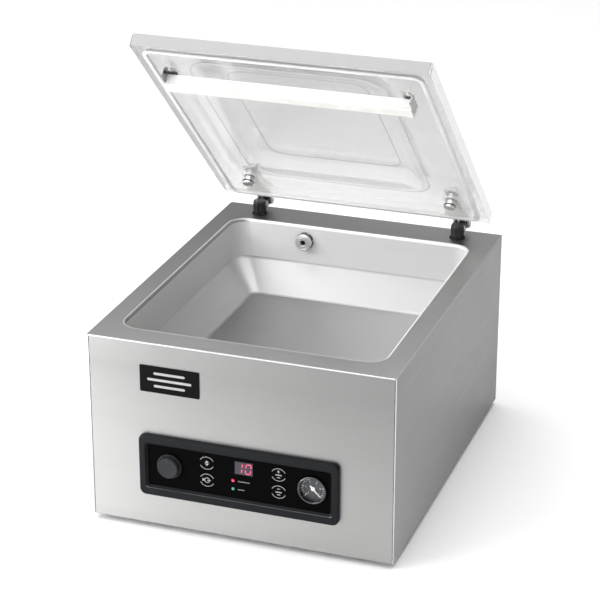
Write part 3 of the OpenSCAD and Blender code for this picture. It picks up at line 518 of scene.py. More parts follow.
def add_tube(bm, path, radius, sides=12, at=Matrix()):
    """A round wire along a list of points, closed at both ends."""
    rows = []
    side = Vector((0, 0, 1))
    for i, p in enumerate(path):
        ahead = (path[min(i + 1, len(path) - 1)] - path[max(i - 1, 0)]).normalized()
        side = (side - ahead * side.dot(ahead)).normalized()
        up = ahead.cross(side)
        rows.append([
            p + radius * (side * math.cos(a) + up * math.sin(a))
            for a in (2 * math.pi * k / sides for k in range(sides))
        ])
    add_loft(bm, rows, at, cap_first=True, cap_last=True)


def piece(name, bm, material, body, slot, *replaced, smooth=32, others=()):
    """Turns bm into an object that rides on a body and stands for some CAD nodes. Others are
    the materials of the faces with a material index of 1 and up."""
    bmesh.ops.recalc_face_normals(bm, faces=bm.faces)
    for f in bm.faces:
        f.smooth = True
    for e in bm.edges:
        e.smooth = not (e.is_manifold and e.calc_face_angle() > math.radians(smooth))
    mesh = bpy.data.meshes.new(name)
    bm.to_mesh(mesh)
    bm.free()
    made = bpy.data.objects.new(name, mesh)
    bpy.context.scene.collection.objects.link(made)
    mesh.materials.append(material)
    even = made.modifiers.new("even_normals", "WEIGHTED_NORMAL")
    even.keep_sharp = True
    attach(made, body)
    if replaced:
        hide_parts(*replaced)
    for other in others:
        mesh.materials.append(other)
    return made


def finish_cad(material, *nodes):
    """Gives CAD nodes that stay in view their material."""
    for node in nodes:
        for s in frame["nodes"][node].material_slots:
            s.material = material


# ---------------------------------------------------------------- housing

RIM_R = 4 * MM
WALL_H = 60 * MM
SLOPE_IN = 40 * MM
BEND_R = 7 * MM
FLOOR_R = 9 * MM
CHAMBER_CORNER = 24 * MM
FLOOR_CORNER = 14 * MM


def deck_and_chamber():
    """One skin from the deck's folded edge over the rolled rim down to the chamber floor."""
    deck_low, deck_high = box_of("top_deck")
    pan_low, pan_high = box_of("chamber_pan")
    top = deck_high.z
    edge_r = 1.3 * MM
    centre = (0, (pan_low.y + pan_high.y) / 2)
    width = pan_high.x - pan_low.x - 2 * RIM_R
    depth = pan_high.y - pan_low.y - 2 * RIM_R
    floor = pan_low.z + SHEET

    def deck_ring(inset, z):
        size = (deck_high.x - deck_low.x - 2 * inset, deck_high.y - deck_low.y - 2 * inset)
        return ring(*size, max(2.5 * MM - inset, 0.6 * MM), z)

    def pan_ring(inset, z):
        share = min(1, max(0, inset / SLOPE_IN))
        corner = CHAMBER_CORNER + (FLOOR_CORNER - CHAMBER_CORNER) * share
        if inset < 0:
            corner = CHAMBER_CORNER - inset
        return ring(width - 2 * inset, depth - 2 * inset, corner, z, centre)

    bend_z = top - WALL_H
    slope = math.atan2(bend_z - floor, SLOPE_IN)
    cut = BEND_R * math.tan((math.pi / 2 - slope) / 2)
    foot_cut = FLOOR_R * math.tan(slope / 2)
    rings = [deck_ring(0, top - SHEET - 0.1 * MM)]
    rings += bend(deck_ring, (edge_r, top - edge_r), edge_r, 180, 90, 4)
    rings += bend(pan_ring, (-RIM_R, top - RIM_R), RIM_R, 90, 0, 7)
    rings += bend(pan_ring, (BEND_R, bend_z + cut), BEND_R,
                  180, 180 + math.degrees(math.pi / 2 - slope), 7)
    rings += bend(pan_ring, (SLOPE_IN + foot_cut, floor + FLOOR_R), FLOOR_R,
                  270 - math.degrees(slope), 270, 7)
    rings.append(pan_ring(SLOPE_IN + 60 * MM, floor))
    bm = bmesh.new()
    add_loft(bm, rings, cap_last=True)
    # The chamber's floor and slopes, its walls and its rim each get a steel with painted light and shade
    chamber, edge, wall, rim = 1, 2, 3, 4
    margin = 10 * MM
    for f in bm.faces:
        at = f.calc_center_median()
        inner = (deck_low.y + margin < at.y < deck_high.y - margin
                 and abs(at.x) < deck_high.x - margin and at.z < top - 0.05 * MM)
        # The deck's front edge gets the lighter edge steel: a painted highlight
        if at.y < deck_low.y + MM:
            f.material_index = edge
        elif inner and at.z > bend_z + 2 * MM:
            f.material_index = wall if at.z < top - RIM_R else rim
        elif inner:
            f.material_index = chamber
    made = piece("deck_and_chamber", bm, STEEL_DECK_PAINTED_LIGHT, "housing", "brushed_deck",
                 "top_deck", "chamber_pan", smooth=50,
                 others=(STEEL_CHAMBER_PAINTED_LIGHT, STEEL_EDGE_HIGHLIGHT, STEEL_WALL_PAINTED_LIGHT, STEEL_RIM_PAINTED_LIGHT))
    thick = made.modifiers.new("sheet", "SOLIDIFY")
    thick.thickness = SHEET - 0.1 * MM
    thick.offset = -1
    bpy.context.view_layer.objects.active = made
    made.modifiers.move(1, 0)


def framed(bm, sections, at):
    """A frame round a window: sections are (width, height, corner, centre x, centre y, out)."""
    rings = [ring(w, h, r, out, (cx, cy)) for w, h, r, cx, cy, out in sections]
    add_loft(bm, rings, at, closed=True)


# The part of the bezel that passes through the front panel, and the gap round it
BEZEL_REAR_W, BEZEL_REAR_H, BEZEL_REAR_CORNER = 262 * MM, 66 * MM, 5 * MM
BEZEL_GAP = 0.6 * MM


def front_panel():
    """The front sheet with rounded edges, the bezel's window and the folds at its sides."""
    low, high = box_of("front_panel")
    width, height = high.x - low.x, high.z - low.z
    mid_z = (low.z + high.z) / 2
    behind = middle("control_bezel")
    window = (BEZEL_REAR_W + BEZEL_GAP, BEZEL_REAR_H + BEZEL_GAP, BEZEL_REAR_CORNER,
              behind.x, behind.z - mid_z)
    edge, corner = 1.2 * MM, 0.4 * MM
    rows = [(width, height, corner, 0, 0, -SHEET), (width, height, corner, 0, 0, -edge)]
    for cos, sin in quarter(4, first=1):
        inset = edge * (1 - cos)
        rows.append((width - 2 * inset, height - 2 * inset, corner, 0, 0, edge * sin - edge))
    rows += [(*window, 0.0), (*window, -SHEET)]
    bm = bmesh.new()
    framed(bm, rows, on_front(0, mid_z))
    fold_low = Vector((high.x - SHEET, FRONT_Y + SHEET, low.z + 4 * MM))
    fold_high = Vector((high.x, high.y, high.z - 16 * MM))
    for side in (1, -1):
        add_box(bm, fold_low, fold_high, Matrix.Scale(side, 4, (1, 0, 0)))
    piece("front_sheet", bm, STEEL_FRONT_PAINTED_LIGHT, "housing", "brushed_front", "front_panel")


def side_panels():
    """Side sheets with a fold inside their lower edge."""
    for node in ("left_panel", "right_panel"):
        low, high = box_of(node)
        outer = high.x if high.x > 0 else -low.x
        mirror = Matrix.Scale(1 if high.x > 0 else -1, 4, (1, 0, 0))
        bm = bmesh.new()
        add_box(bm, (outer - SHEET, low.y, low.z), (outer, high.y, high.z), mirror,
                bevel=0.6 * MM, segments=3)
        add_box(bm, (outer - SHEET - 14 * MM, low.y + 14 * MM, low.z + SHEET),
                (outer - SHEET, high.y - 14 * MM, low.z + 2 * SHEET), mirror)
        # The front edge of each sheet gets the lighter edge steel: a painted highlight
        for f in bm.faces:
            f.material_index = int(f.calc_center_median().y < low.y + 0.7 * MM)
        piece(node.replace("panel", "sheet"), bm, STEEL_SIDE_PAINTED_LIGHT, "housing", "brushed_side", node,
              others=(STEEL_EDGE_HIGHLIGHT,))


def feet():
    """Four round feet with a recess for the screw."""
    low, high = box_of("feet")
    radius = 16 * MM
    bm = bmesh.new()
    section = in_mm((5.5, 0), (13.6, 0), (14.6, 0.4), (15, 1.4), (15.6, 1.9), (16, 2.6), (16, 7.2),
                    (15.4, 8), (2.6, 8), (2.6, 5), (5.5, 5))
    for x in (low.x + radius, high.x - radius):
        for y in (low.y + radius, high.y - radius):
            add_lathe(bm, section, shift(x, y, 0), closed=True)
    piece("rubber_feet", bm, RUBBER, "housing", "rubber_black", "feet")


def add_cross_head(bm, radius, height, at):
    """A pan head with a cross recess, standing on local z = 0."""
    head = bmesh.new()
    dome = [(0, height)]
    dome += [(radius * sin ** 0.8, height * (0.35 + 0.65 * cos)) for cos, sin in quarter(6, first=1)]
    dome += [(radius, 0), (0, 0)]
    add_lathe(head, dome, steps=32)
    merge(bm, head, at)
    arm, slot = 0.62 * radius, 0.17 * radius
    mark = bmesh.new()
    outline = [(arm, -slot), (arm, slot), (slot, slot), (slot, arm), (-slot, arm), (-slot, slot),
               (-arm, slot), (-arm, -slot), (-slot, -slot), (-slot, -arm), (slot, -arm),
               (slot, -slot)]
    add_prism(mark, outline, height * 0.5, height * 1.02)
    merge(bm, mark, at)


def rear_screws():
    """Eight pan-head screws in two rows."""
    low, high = box_of("rear_screws")
    radius = 4 * MM
    bm = bmesh.new()
    rear = box_of("rear_panel")[1].y
    for i in range(4):
        x = low.x + radius + (high.x - low.x - 2 * radius) * i / 3
        for z in (low.z + radius, high.z - radius):
            at = shift(x, rear, z) @ turn(-90, "X")
            add_cross_head(bm, radius, 1.9 * MM, at)
            add_rod(bm, 2 * MM, 0.2 * MM, -8 * MM, at)
    piece("rear_pan_screws", bm, STEEL_BRIGHT, "housing", "bright_steel", "rear_screws")


# ---------------------------------------------------------------- control panel

def on_panel(node):
    """A control's place on the front panel, its width and height, and how far its face and its
    back stand out."""
    low, high = box_of(node)
    centre = middle(node)
    return (on_front(centre.x, centre.z), high.x - low.x, high.z - low.z,
            out_of_front(low.y), out_of_front(high.y))


def bezel():
    """Black frame with a rounded outer edge, a lip and a step down to the fascia."""
    at, width, height, out, back = on_panel("control_bezel")
    window_w, window_h, corner = 256 * MM, 60 * MM, 9 * MM
    edge, foot = 2.2 * MM, 0.02 * MM
    rows = [(BEZEL_REAR_W, BEZEL_REAR_H, BEZEL_REAR_CORNER, 0, 0, back),
            (BEZEL_REAR_W, BEZEL_REAR_H, BEZEL_REAR_CORNER, 0, 0, foot),
            (width - 0.4 * MM, height - 0.4 * MM, corner, 0, 0, foot),
            (width, height, corner, 0, 0, 0.4 * MM)]
    for cos, sin in quarter(5):
        inset = edge * (1 - cos)
        rows.append((width - 2 * inset, height - 2 * inset, corner - inset, 0, 0,
                     out - edge + edge * sin))
    # The lip and the step down to the window, in millimetres: wider by, corner, below the face
    for wider, radius, depth in ((7.6, 5.4, 0), (6.4, 4.9, 0.25), (5.4, 4.6, 1), (2.6, 3.6, 3.2),
                                 (0.8, 3.2, 3.7), (0, 3, 4.6)):
        rows.append((window_w + wider * MM, window_h + wider * MM, radius * MM, 0, 0, out - depth * MM))
    rows.append((window_w, window_h, 3 * MM, 0, 0, back))
    bm = bmesh.new()
    framed(bm, rows, at)
    # The lower side of the lip gets a lighter, shinier copy of the bezel plastic: a painted highlight
    lip_half, lip_low, lip_high = 131 * MM, -33.4 * MM, -31 * MM
    centre = at.translation
    for f in bm.faces:
        spot = f.calc_center_median() - centre
        lower = abs(spot.x) < lip_half and lip_low < spot.z < lip_high
        f.material_index = int(lower and out - 0.9 * MM < -spot.y < out - 0.05 * MM)
    piece("bezel_frame", bm, BEZEL_PLASTIC, "housing", "black_matte", "control_bezel",
          others=(BEZEL_LIP_HIGHLIGHT,))


def knob():
    """Round skirt and a twelve-sided grip with a rounded, slightly hollow front."""
    at, width, _, out, _ = on_panel("switch_knob")
    radius = width / 2
    start = 2.3 * MM
    sides, steps = 12, 8
    bm = bmesh.new()
    add_disc(bm, radius, start, start + 2.6 * MM, 0.7 * MM, at, 96)

    def grip_ring(r, z, sharp):
        def radius_at(_, a):
            part = (a % (2 * math.pi / sides)) - math.pi / sides
            flat = r * math.cos(math.pi / sides) / math.cos(part)
            return r * 0.985 * (1 - sharp) + flat * sharp
        return polar_ring(sides * steps, z, radius_at)

    foot, crown = radius - 0.9 * MM, radius - 2.0 * MM
    rows = [grip_ring(foot, start + 2.5 * MM, 1), grip_ring(crown, out - 3.4 * MM, 1)]
    for i, (cos, sin) in enumerate(quarter(5, first=1), 1):
        rows.append(grip_ring(crown - 2.2 * MM * (1 - cos), out - 3.4 * MM + 3.3 * MM * sin,
                              1 - 0.5 * i / 5))
    rows.append(grip_ring(crown - 4.2 * MM, out - 0.2 * MM, 0.2))
    rows.append(grip_ring(crown - 6.5 * MM, out - 0.7 * MM, 0))
    add_loft(bm, rows, at, cap_first=True, cap_last=True)
    add_rod(bm, 3 * MM, -16 * MM, start + MM, at, 32)
    piece("knob_grip", bm, KNOB_PLASTIC, "switch_knob", "knob_plastic", "switch_knob", smooth=20)
    mark = bmesh.new()
    add_box(mark, (-0.4 * MM, 9.6 * MM, out - 1.2 * MM), (0.4 * MM, 12.6 * MM, out - 0.04 * MM), at,
            bevel=0.15 * MM)
    piece("knob_mark", mark, DIAL_GREY, "switch_knob", "dial_face")


def arc_outline(radius, thick, start, end, steps=20):
    """Outline of a strip bent along an arc."""
    angles = [math.radians(start + (end - start) * i / steps) for i in range(steps + 1)]
    outer, inner = ([(r * math.cos(a), r * math.sin(a)) for a in angles]
                    for r in (radius + thick / 2, radius - thick / 2))
    return outer + inner[::-1]


def symbol(kind):
    """Flat outlines, in millimetres, of the sign in the middle of a key."""
    if kind == "up_down":
        up = [(-2.9, 0.6), (2.9, 0.6), (0, 3.9)]
        return [up, [(-x, -y) for x, y in up]]
    if kind == "stop":
        triangle = [(-6.4, -2.4), (-2.6, 0), (-6.4, 2.4)]
        return [triangle, arc_outline(3.4, 0.9, 0, 350), bar(0.1, -0.5, 5.2, 0.5)]
    lines = [bar(-4.4, -1.0, 4.4, 0.2), bar(-2.2, -4.6, 2.2, -3.6), bar(-1.9, 4.0, 1.9, 4.9)]
    if kind == "plus":
        lines += [bar(-0.45, 4.9, 0.45, 6.4), bar(-0.45, 2.5, 0.45, 4.0)]
    return lines


KEY_R = 10.4 * MM


def keys():
    """Slightly domed caps with printed arcs and a sign."""
    signs = {"key_left_high": "up_down", "key_left_low": "stop",
             "key_right_high": "plus", "key_right_low": "minus"}
    for node, sign in signs.items():
        at, _, _, out, _ = on_panel(node)
        bm = bmesh.new()
        r = KEY_R
        dome = [(0, out), (0.6 * r, out - 0.03 * MM), (0.85 * r, out - 0.1 * MM),
                (r - 0.4 * MM, out - 0.25 * MM), (r - 0.1 * MM, out - 0.5 * MM), (r, out - 0.9 * MM),
                (r, -1.8 * MM), (r + 1.4 * MM, -1.8 * MM), (r + 1.4 * MM, -2.6 * MM),
                (2 * MM, -2.6 * MM), (2 * MM, -5 * MM), (0, -5 * MM)]
        add_lathe(bm, dome, at)
        piece(node + "_cap", bm, KEY_FILM, node, "key_film", node)
        printed = bmesh.new()
        lower = [(x, 1.5 * MM + y) for x, y in arc_outline(10.5 * MM, 0.65 * MM, 210, 330)]
        strips = [lower, [(-x, -y) for x, y in lower]]
        strips += [in_mm(*s) for s in symbol(sign)]
        for s in strips:
            add_prism(printed, s, out - 0.32 * MM, out + 0.03 * MM, at)
        piece(node + "_sign", printed, PRINT_WHITE, node, "pointer_white")


# Segments run top, upper right, lower right, bottom, lower left, upper left, middle
FIGURES = {"0": (1, 1, 1, 1, 1, 1, 0), "1": (0, 1, 1, 0, 0, 0, 0), "2": (1, 1, 0, 1, 1, 0, 1),
           "4": (0, 1, 1, 0, 0, 1, 1), "6": (1, 0, 1, 1, 1, 1, 1), "8": (1, 1, 1, 1, 1, 1, 1)}


def figure_segments(flags, width, height, thick, slant):
    """Outlines of the lit segments of a slanted figure."""
    w, h, t, gap = width / 2, height / 2, thick / 2, 0.25 * thick
    across = [(-w + t + gap, 0), (-w + 2 * t + gap, t), (w - 2 * t - gap, t), (w - t - gap, 0),
              (w - 2 * t - gap, -t), (-w + 2 * t + gap, -t)]
    upright = [(0, -h / 2 + t + gap), (t, -h / 2 + 2 * t + gap), (t, h / 2 - 2 * t - gap),
               (0, h / 2 - t - gap), (-t, h / 2 - 2 * t - gap), (-t, -h / 2 + 2 * t + gap)]
    places = [(across, 0, h - t), (upright, w - t, h / 2), (upright, w - t, -h / 2),
              (across, 0, -h + t), (upright, -w + t, -h / 2), (upright, -w + t, h / 2), (across, 0, 0)]
    made = []
    for on, (shape, dx, dy) in zip(flags, places):
        if on:
            made.append([(x + dx + slant * (y + dy), y + dy) for x, y in shape])
    return made


def add_figure(bm, ch, spot, size, thick, slant, low, high, at):
    """One raised figure round a spot."""
    for outline in figure_segments(FIGURES[ch], *size, thick, slant):
        add_prism(bm, [(x + spot[0], y + spot[1]) for x, y in outline], low, high, at)


def display():
    """Smoked pane with the two figures of the photo."""
    at, width, height, front, back = on_panel("display_window")
    bm = bmesh.new()
    rings = [ring(width, height, 0.5 * MM, back), ring(width, height, 0.5 * MM, front - 0.3 * MM),
             ring(width - 0.5 * MM, height - 0.5 * MM, 0.4 * MM, front)]
    add_loft(bm, rings, at, cap_first=True, cap_last=True)
    piece("display_pane", bm, DISPLAY_DARK, "housing", "display_smoke", "display_window")
    digits = bmesh.new()
    block_low, block_high = box_of("display_digits")
    add_box(digits, (block_low.x, FRONT_Y + 0.3 * MM, block_low.z), block_high)
    size, thick, slant = (8.6 * MM, 15.4 * MM), 1.6 * MM, 0.12
    for ch, x in (("1", -6 * MM), ("0", 6.4 * MM)):
        add_figure(digits, ch, (x, 0), size, thick, slant, front - 0.2 * MM, front + 0.04 * MM, at)
    piece("display_figures", digits, DIGIT_RED, "housing", "digit_red", "display_digits")


def lamps():
    """Domed lenses, each with a plain strip where the photo has words."""
    face = out_of_front(box_of("control_fascia")[0].y)
    for node, material, slot, length in (("red_lamp", LAMP_RED, "lamp_red", 16.5 * MM),
                                         ("green_lamp", LAMP_GREEN, "lamp_green", 9 * MM)):
        at, width, _, out, back = on_panel(node)
        radius = width / 2
        section = [(0, out)]
        section += [(radius * sin, out - radius + radius * cos) for cos, sin in quarter(6, first=1)]
        section += [(radius, back), (0, back)]
        bm = bmesh.new()
        add_lathe(bm, section, at, 32)
        piece(node + "_lens", bm, material, "housing", slot, node)
        strip = bmesh.new()
        add_box(strip, (7 * MM, -0.7 * MM, face - 0.1 * MM), (7 * MM + length, 0.7 * MM, face + 0.05 * MM),
                at, bevel=0)
        piece(node + "_strip", strip, PRINT_GREY, "housing", "pointer_white")


def gauge():
    """Ring, glass, scale and hand of the vacuum gauge."""
    at, width, _, out, _ = on_panel("gauge_ring")
    radius = width / 2
    bore, lip, seat = radius - 2.7 * MM, out - 0.7 * MM, radius - 2.1 * MM
    section = [(seat, 1.5 * MM), (radius - 0.4 * MM, 1.5 * MM), (radius, 1.9 * MM),
               (radius, out - 2 * MM)]
    section += [(radius - 1.6 * MM * (1 - cos), out - 1.9 * MM * (1 - sin)) for cos, sin in quarter(8)]
    section += [(bore + 0.5 * MM, out - 0.15 * MM), (bore, lip), (seat, lip)]
    bm = bmesh.new()
    add_lathe(bm, section, at, 96, closed=True)
    # Darkened steel on the ring: painted reflection of the dark panel round it
    piece("gauge_bezel_ring", bm, SHADED_STEEL, "housing", "bright_steel", "gauge_ring")

    lens_out = out_of_front(box_of("gauge_lens")[0].y)
    lens = bmesh.new()
    r = seat - 0.05 * MM
    add_lathe(lens, [(0, lens_out), (r * 0.6, lens_out - 0.05 * MM), (r * 0.96, lens_out - 0.1 * MM),
                     (r, lens_out - 0.3 * MM), (r, lens_out - MM), (0, lens_out - MM)], at, 96)
    piece("gauge_glass_pane", lens, GAUGE_GLASS, "housing", "gauge_glass", "gauge_lens")

    face = out_of_front(box_of("gauge_dial")[0].y)
    marks = bmesh.new()
    first, sweep, count = -45, 270, 20
    out_end = 16.3 * MM
    for i in range(count + 1):
        major = i % 4 == 0
        a = math.radians(first + sweep * i / count)
        tick = Matrix.Rotation(a, 4, "Z")
        inner = 12.6 * MM if major else 13.8 * MM
        half = 0.5 * MM if major else 0.28 * MM
        add_box(marks, (inner, -half, face - 0.1 * MM), (out_end, half, face + 0.06 * MM), at @ tick,
                bevel=0)
        if major:
            add_numeral(marks, str(10 - i // 2) if i < count else "0", at, a, 9.8 * MM, face)
    piece("gauge_scale", marks, POINTER_WHITE, "housing", "pointer_white")

    hand = bmesh.new()
    pose = at @ turn(-47, "Z")
    foot = face + MM
    blade = in_mm((-5.5, -1.2), (-5.5, 1.2), (-3, 0.9), (4, 0.9), (15.2, 0.3), (15.2, -0.3), (4, -0.9),
                  (-3, -0.9))
    add_prism(hand, blade, foot, foot + 0.45 * MM, pose, bevel=0.08 * MM)
    hub, shaft = 2.8 * MM, face - 8.1 * MM
    add_lathe(hand, [(0, foot + 0.9 * MM), (1.6 * MM, foot + 0.9 * MM), (hub - 0.1 * MM, foot + 0.6 * MM),
                     (hub, foot - 0.3 * MM), (MM, foot - 0.3 * MM), (MM, shaft), (0, shaft)], pose, 32)
    piece("gauge_hand", hand, POINTER_WHITE, "gauge_pointer", "pointer_white", "gauge_pointer")


def add_numeral(bm, text, at, angle, radius, face):
    """Small upright figures set round the dial."""
    step, size, thick = 1.7 * MM, (1.4 * MM, 2.4 * MM), 0.34 * MM
    for k, ch in enumerate(text):
        spot = (radius * math.cos(angle) + (k - (len(text) - 1) / 2) * step, radius * math.sin(angle))
        add_figure(bm, ch, spot, size, thick, 0, face - 0.1 * MM, face + 0.05 * MM, at)


def badge():
    """Black plate with three raised white bars."""
    at, width, height, top, _ = on_panel("badge_plate")
    plate_out = 1.2 * MM
    bm = bmesh.new()
    rows = [(0, 0.02 * MM), (0, plate_out - 0.35 * MM), (0.12 * MM, plate_out - 0.1 * MM),
            (0.35 * MM, plate_out)]
    rings = [ring(width - 2 * i, height - 2 * i, 1.5 * MM - i, z) for i, z in rows]
    add_loft(bm, rings, at, cap_first=True, cap_last=True)
    for side in (-30 * MM, 30 * MM):
        add_rod(bm, 1.5 * MM, 0.1 * MM, -6 * MM, at @ shift(side, 0, 0))
    piece("badge_blank", bm, BADGE_BLACK, "housing", "badge_black", "badge_plate")
    motif = bmesh.new()
    for i in (1, 0, -1):
        length = (62 - 18 * abs(i)) * MM
        outline = [(px, py + 9 * i * MM) for px, py in round_loop(length, 3.4 * MM, 1.65 * MM, 6)]
        add_prism(motif, outline, plate_out - 0.05 * MM, top - 0.05 * MM, at)
    piece("badge_motif", motif, PRINT_WHITE, "housing", "pointer_white")


# ---------------------------------------------------------------- chamber fittings

def nozzle():
    """Disc with a groove and a bore, and its notched lock ring and nut."""
    low, high = box_of("suction_nozzle")
    centre = middle("suction_nozzle")
    wall = box_of("chamber_pan")[1].y - RIM_R
    # Local Z points to the front, from the chamber's rear wall
    at = shift(centre.x, wall, centre.z) @ turn(90, "X")
    out = wall - low.y
    bore = 4 * MM
    # Radius and depth below the face: bore, groove, rounded rim and back
    face = in_mm((4, 0.8), (4.8, 0), (8.6, 0), (9.2, 0.4), (9.8, 0), (11, 0), (12.2, 1.3), (12.5, 2.2),
                 (12.5, 5.6), (12, 6.6), (6, 7))
    section = [(r, out - depth) for r, depth in face] + [(6 * MM, wall - high.y), (bore, wall - high.y)]
    bm = bmesh.new()
    add_lathe(bm, section, at, closed=True)
    piece("nozzle_disc", bm, SATIN_STEEL, "housing", "stainless", "suction_nozzle")
    # A black plug down the bore: painted shade in the hole
    bore_shade = bmesh.new()
    add_rod(bore_shade, bore - 0.05 * MM, out - 6 * MM, out - 9 * MM, at, 32)
    piece("nozzle_bore_painted_shade", bore_shade, RUBBER, "housing", "rubber_black")
    lock = bmesh.new()
    notches, steps = 6, 12
    lock_r, notch_depth = 13.3, 1.5

    def lock_row(inset, z):
        def radius_at(i, _):
            return (lock_r - inset - (notch_depth if i % steps < 3 else 0.0)) * MM
        return polar_ring(notches * steps, z * MM, radius_at)

    rows = [lock_row(*row) for row in ((0.6, 0.05), (0, 0.5), (0, 4.2), (0.7, 4.9))]
    inner = [[Vector((p.x, p.y, 0)).normalized() * 6 * MM + Vector((0, 0, p.z)) for p in r]
             for r in (rows[-1], rows[0])]
    add_loft(lock, rows + inner, at, closed=True)
    add_prism(lock, hexagon(9.5 * MM), -SHEET - 5 * MM, -SHEET, at, bevel=0.4 * MM)
    # Darkened steel on the lock ring: painted shade beside the disc
    piece("nozzle_lock_ring", lock, SHADED_STEEL, "housing", "stainless", "nozzle_ring")


def seal_bar():
    """Bar with a groove for the wires, under a tape with a slight crown."""
    low, high = box_of("seal_bar")
    bm = bmesh.new()
    mid_y = (low.y + high.y) / 2
    half = 4 * MM
    outline = [(low.y, low.z), (high.y, low.z), (high.y, high.z), (mid_y + half, high.z),
               (mid_y + half, high.z - MM), (mid_y - half, high.z - MM), (mid_y - half, high.z),
               (low.y, high.z)]
    add_prism(bm, outline, low.x, high.x, YZ, bevel=0.5 * MM)
    piece("seal_bar_body", bm, ALUMINIUM, "seal_bar", "seal_aluminium", "seal_bar")
    low, high = box_of("seal_tape")
    tape = bmesh.new()
    rows = 9
    crown = 0.12 * MM
    section = []
    for i in range(rows):
        t = i / (rows - 1)
        section.append((low.y + (high.y - low.y) * t, high.z - crown + crown * (1 - (2 * t - 1) ** 2)))
    outline = section[::-1] + [(low.y, low.z), (high.y, low.z)]
    add_prism(tape, outline, low.x, high.x, YZ)
    piece("seal_tape_cover", tape, TAPE, "seal_bar", "glass_cloth_tape", "seal_tape")


def lift_parts():
    """Flanged cylinders that guide the lift rods."""
    for side, low, high, centre in halves("lift_cylinders", closed=False):
        at = shift(centre.x, centre.y, low.z)
        height = high.z - low.z
        bore = 5.05 * MM
        section = [*in_mm((16.4, 0), (17, 0.5), (17, 2.5), (16.5, 3), (13, 3)), (13 * MM, height - MM),
                   (12.2 * MM, height), (bore + 0.5 * MM, height), (bore, height - 0.5 * MM),
                   (bore, 3 * MM), (0, 3 * MM), (0, 0)]
        bm = bmesh.new()
        add_lathe(bm, section, at)
        tag, replaced = ("right", ("lift_cylinders",)) if side > 0 else ("left", ())
        piece(tag + "_lift_cylinder", bm, STEEL_PART, "housing", "stainless", *replaced)


# ---------------------------------------------------------------- hinges

POST_R = 9.8 * MM
EAR_OUT = 9.1 * MM
EAR_T = 3 * MM
LEAF_T = 2.5 * MM
CHEEK_IN = 9.4 * MM
CHEEK_T = 3 * MM
BOSS_R = 5.5 * MM


def posts():
    """Black columns with upright ribs on a moulded foot ring, with two ears round each pin."""
    ribs, steps = 20, 8
    both = bmesh.new()
    rings = bmesh.new()

    def ribbed(radius, depth, z):
        def radius_at(i, _):
            share = abs((i % steps) / steps - 0.5) * 2
            return radius - depth * min(1, max(0, (share - 0.35) / 0.4))
        return polar_ring(ribs * steps, z, radius_at)

    for _, low, high, centre in halves("hinge_posts", closed=False):
        foot_y = low.y + POST_R
        at = shift(centre.x, foot_y, DECK_Z)
        top, stem, end = high.z - DECK_Z, 7.9 * MM, low.z - DECK_Z
        rows = [ribbed(stem - MM, 0, end), ribbed(stem, 0, end + MM), ribbed(stem, 0, 0),
                ribbed(POST_R, 0.7 * MM, 0), ribbed(POST_R, 0.7 * MM, top - 3.2 * MM),
                ribbed(POST_R - 0.5 * MM, 0.2 * MM, top - 2.2 * MM),
                ribbed(POST_R - 0.5 * MM, 0, top - 1.4 * MM), ribbed(POST_R - 0.9 * MM, 0, top - 0.4 * MM),
                ribbed(POST_R - 1.9 * MM, 0, top)]
        add_loft(both, rows, at, cap_first=True, cap_last=True)
        reach = foot_y - PIVOT.y
        ear = [(reach, -BOSS_R + 0.5 * MM), (0, -BOSS_R + 0.2 * MM), *arc(BOSS_R, -75, 75),
               (0, BOSS_R - 0.2 * MM), (reach, BOSS_R - 0.5 * MM)]
        for x in (-EAR_OUT, EAR_OUT - EAR_T):
            ear_at = shift(centre.x + x, PIVOT.y, PIVOT.z) @ YZ
            add_prism(both, ear, 0, EAR_T, ear_at, bevel=0.4 * MM)
        flare = [(POST_R + 0.1 * MM, 0.02 * MM), (POST_R + 1.8 * MM, 0.02 * MM),
                 (POST_R + 1.8 * MM, 0.6 * MM), (POST_R + 1.3 * MM, 1.1 * MM),
                 (POST_R + 0.7 * MM, 2 * MM), (POST_R + 0.1 * MM, 2 * MM)]
        add_lathe(rings, flare, at, closed=True)
    piece("ribbed_posts", both, POST_BLACK, "housing", "post_black", "hinge_posts", smooth=24)
    piece("post_foot_rings", rings, RUBBER, "housing", "rubber_black", "post_grommets")


def brackets():
    """Leaves on the lid with cheeks that reach down to the pins."""
    leaves, cheeks = bmesh.new(), bmesh.new()
    for _, low, high, centre in halves("hinge_brackets"):
        half = (high.x - low.x) / 2
        leaf_z = high.z - LEAF_T
        nose, narrow = low.y, 12 * MM
        waist, wide = PIVOT.y - 58 * MM, PIVOT.y - 42 * MM
        outline = [(-narrow + 4 * MM, nose), (narrow - 4 * MM, nose), (narrow, nose + 4 * MM),
                   (narrow, waist), (half, wide), (half, PIVOT.y + 3 * MM), (-half, PIVOT.y + 3 * MM),
                   (-half, wide), (-narrow, waist), (-narrow, nose + 4 * MM)]
        add_prism(leaves, outline, leaf_z, high.z, OPENED @ shift(centre.x, 0, 0), bevel=0.7 * MM,
                  segments=3)
        rise = leaf_z - PIVOT.z
        for x in (-CHEEK_IN - CHEEK_T, CHEEK_IN):
            cheek = [(-17 * MM, rise + 0.1 * MM), *arc(BOSS_R, 205, 380), (3 * MM, rise + 0.1 * MM)]
            turned = OPENED @ shift(centre.x + x, PIVOT.y, PIVOT.z) @ YZ
            add_prism(cheeks, cheek, 0, CHEEK_T, turned, bevel=0.4 * MM)
    piece("bracket_leaves", leaves, STEEL_LEAF_PAINTED_LIGHT, "lid", "stainless", "hinge_brackets")
    piece("bracket_cheeks", cheeks, SATIN_STEEL, "lid", "stainless")


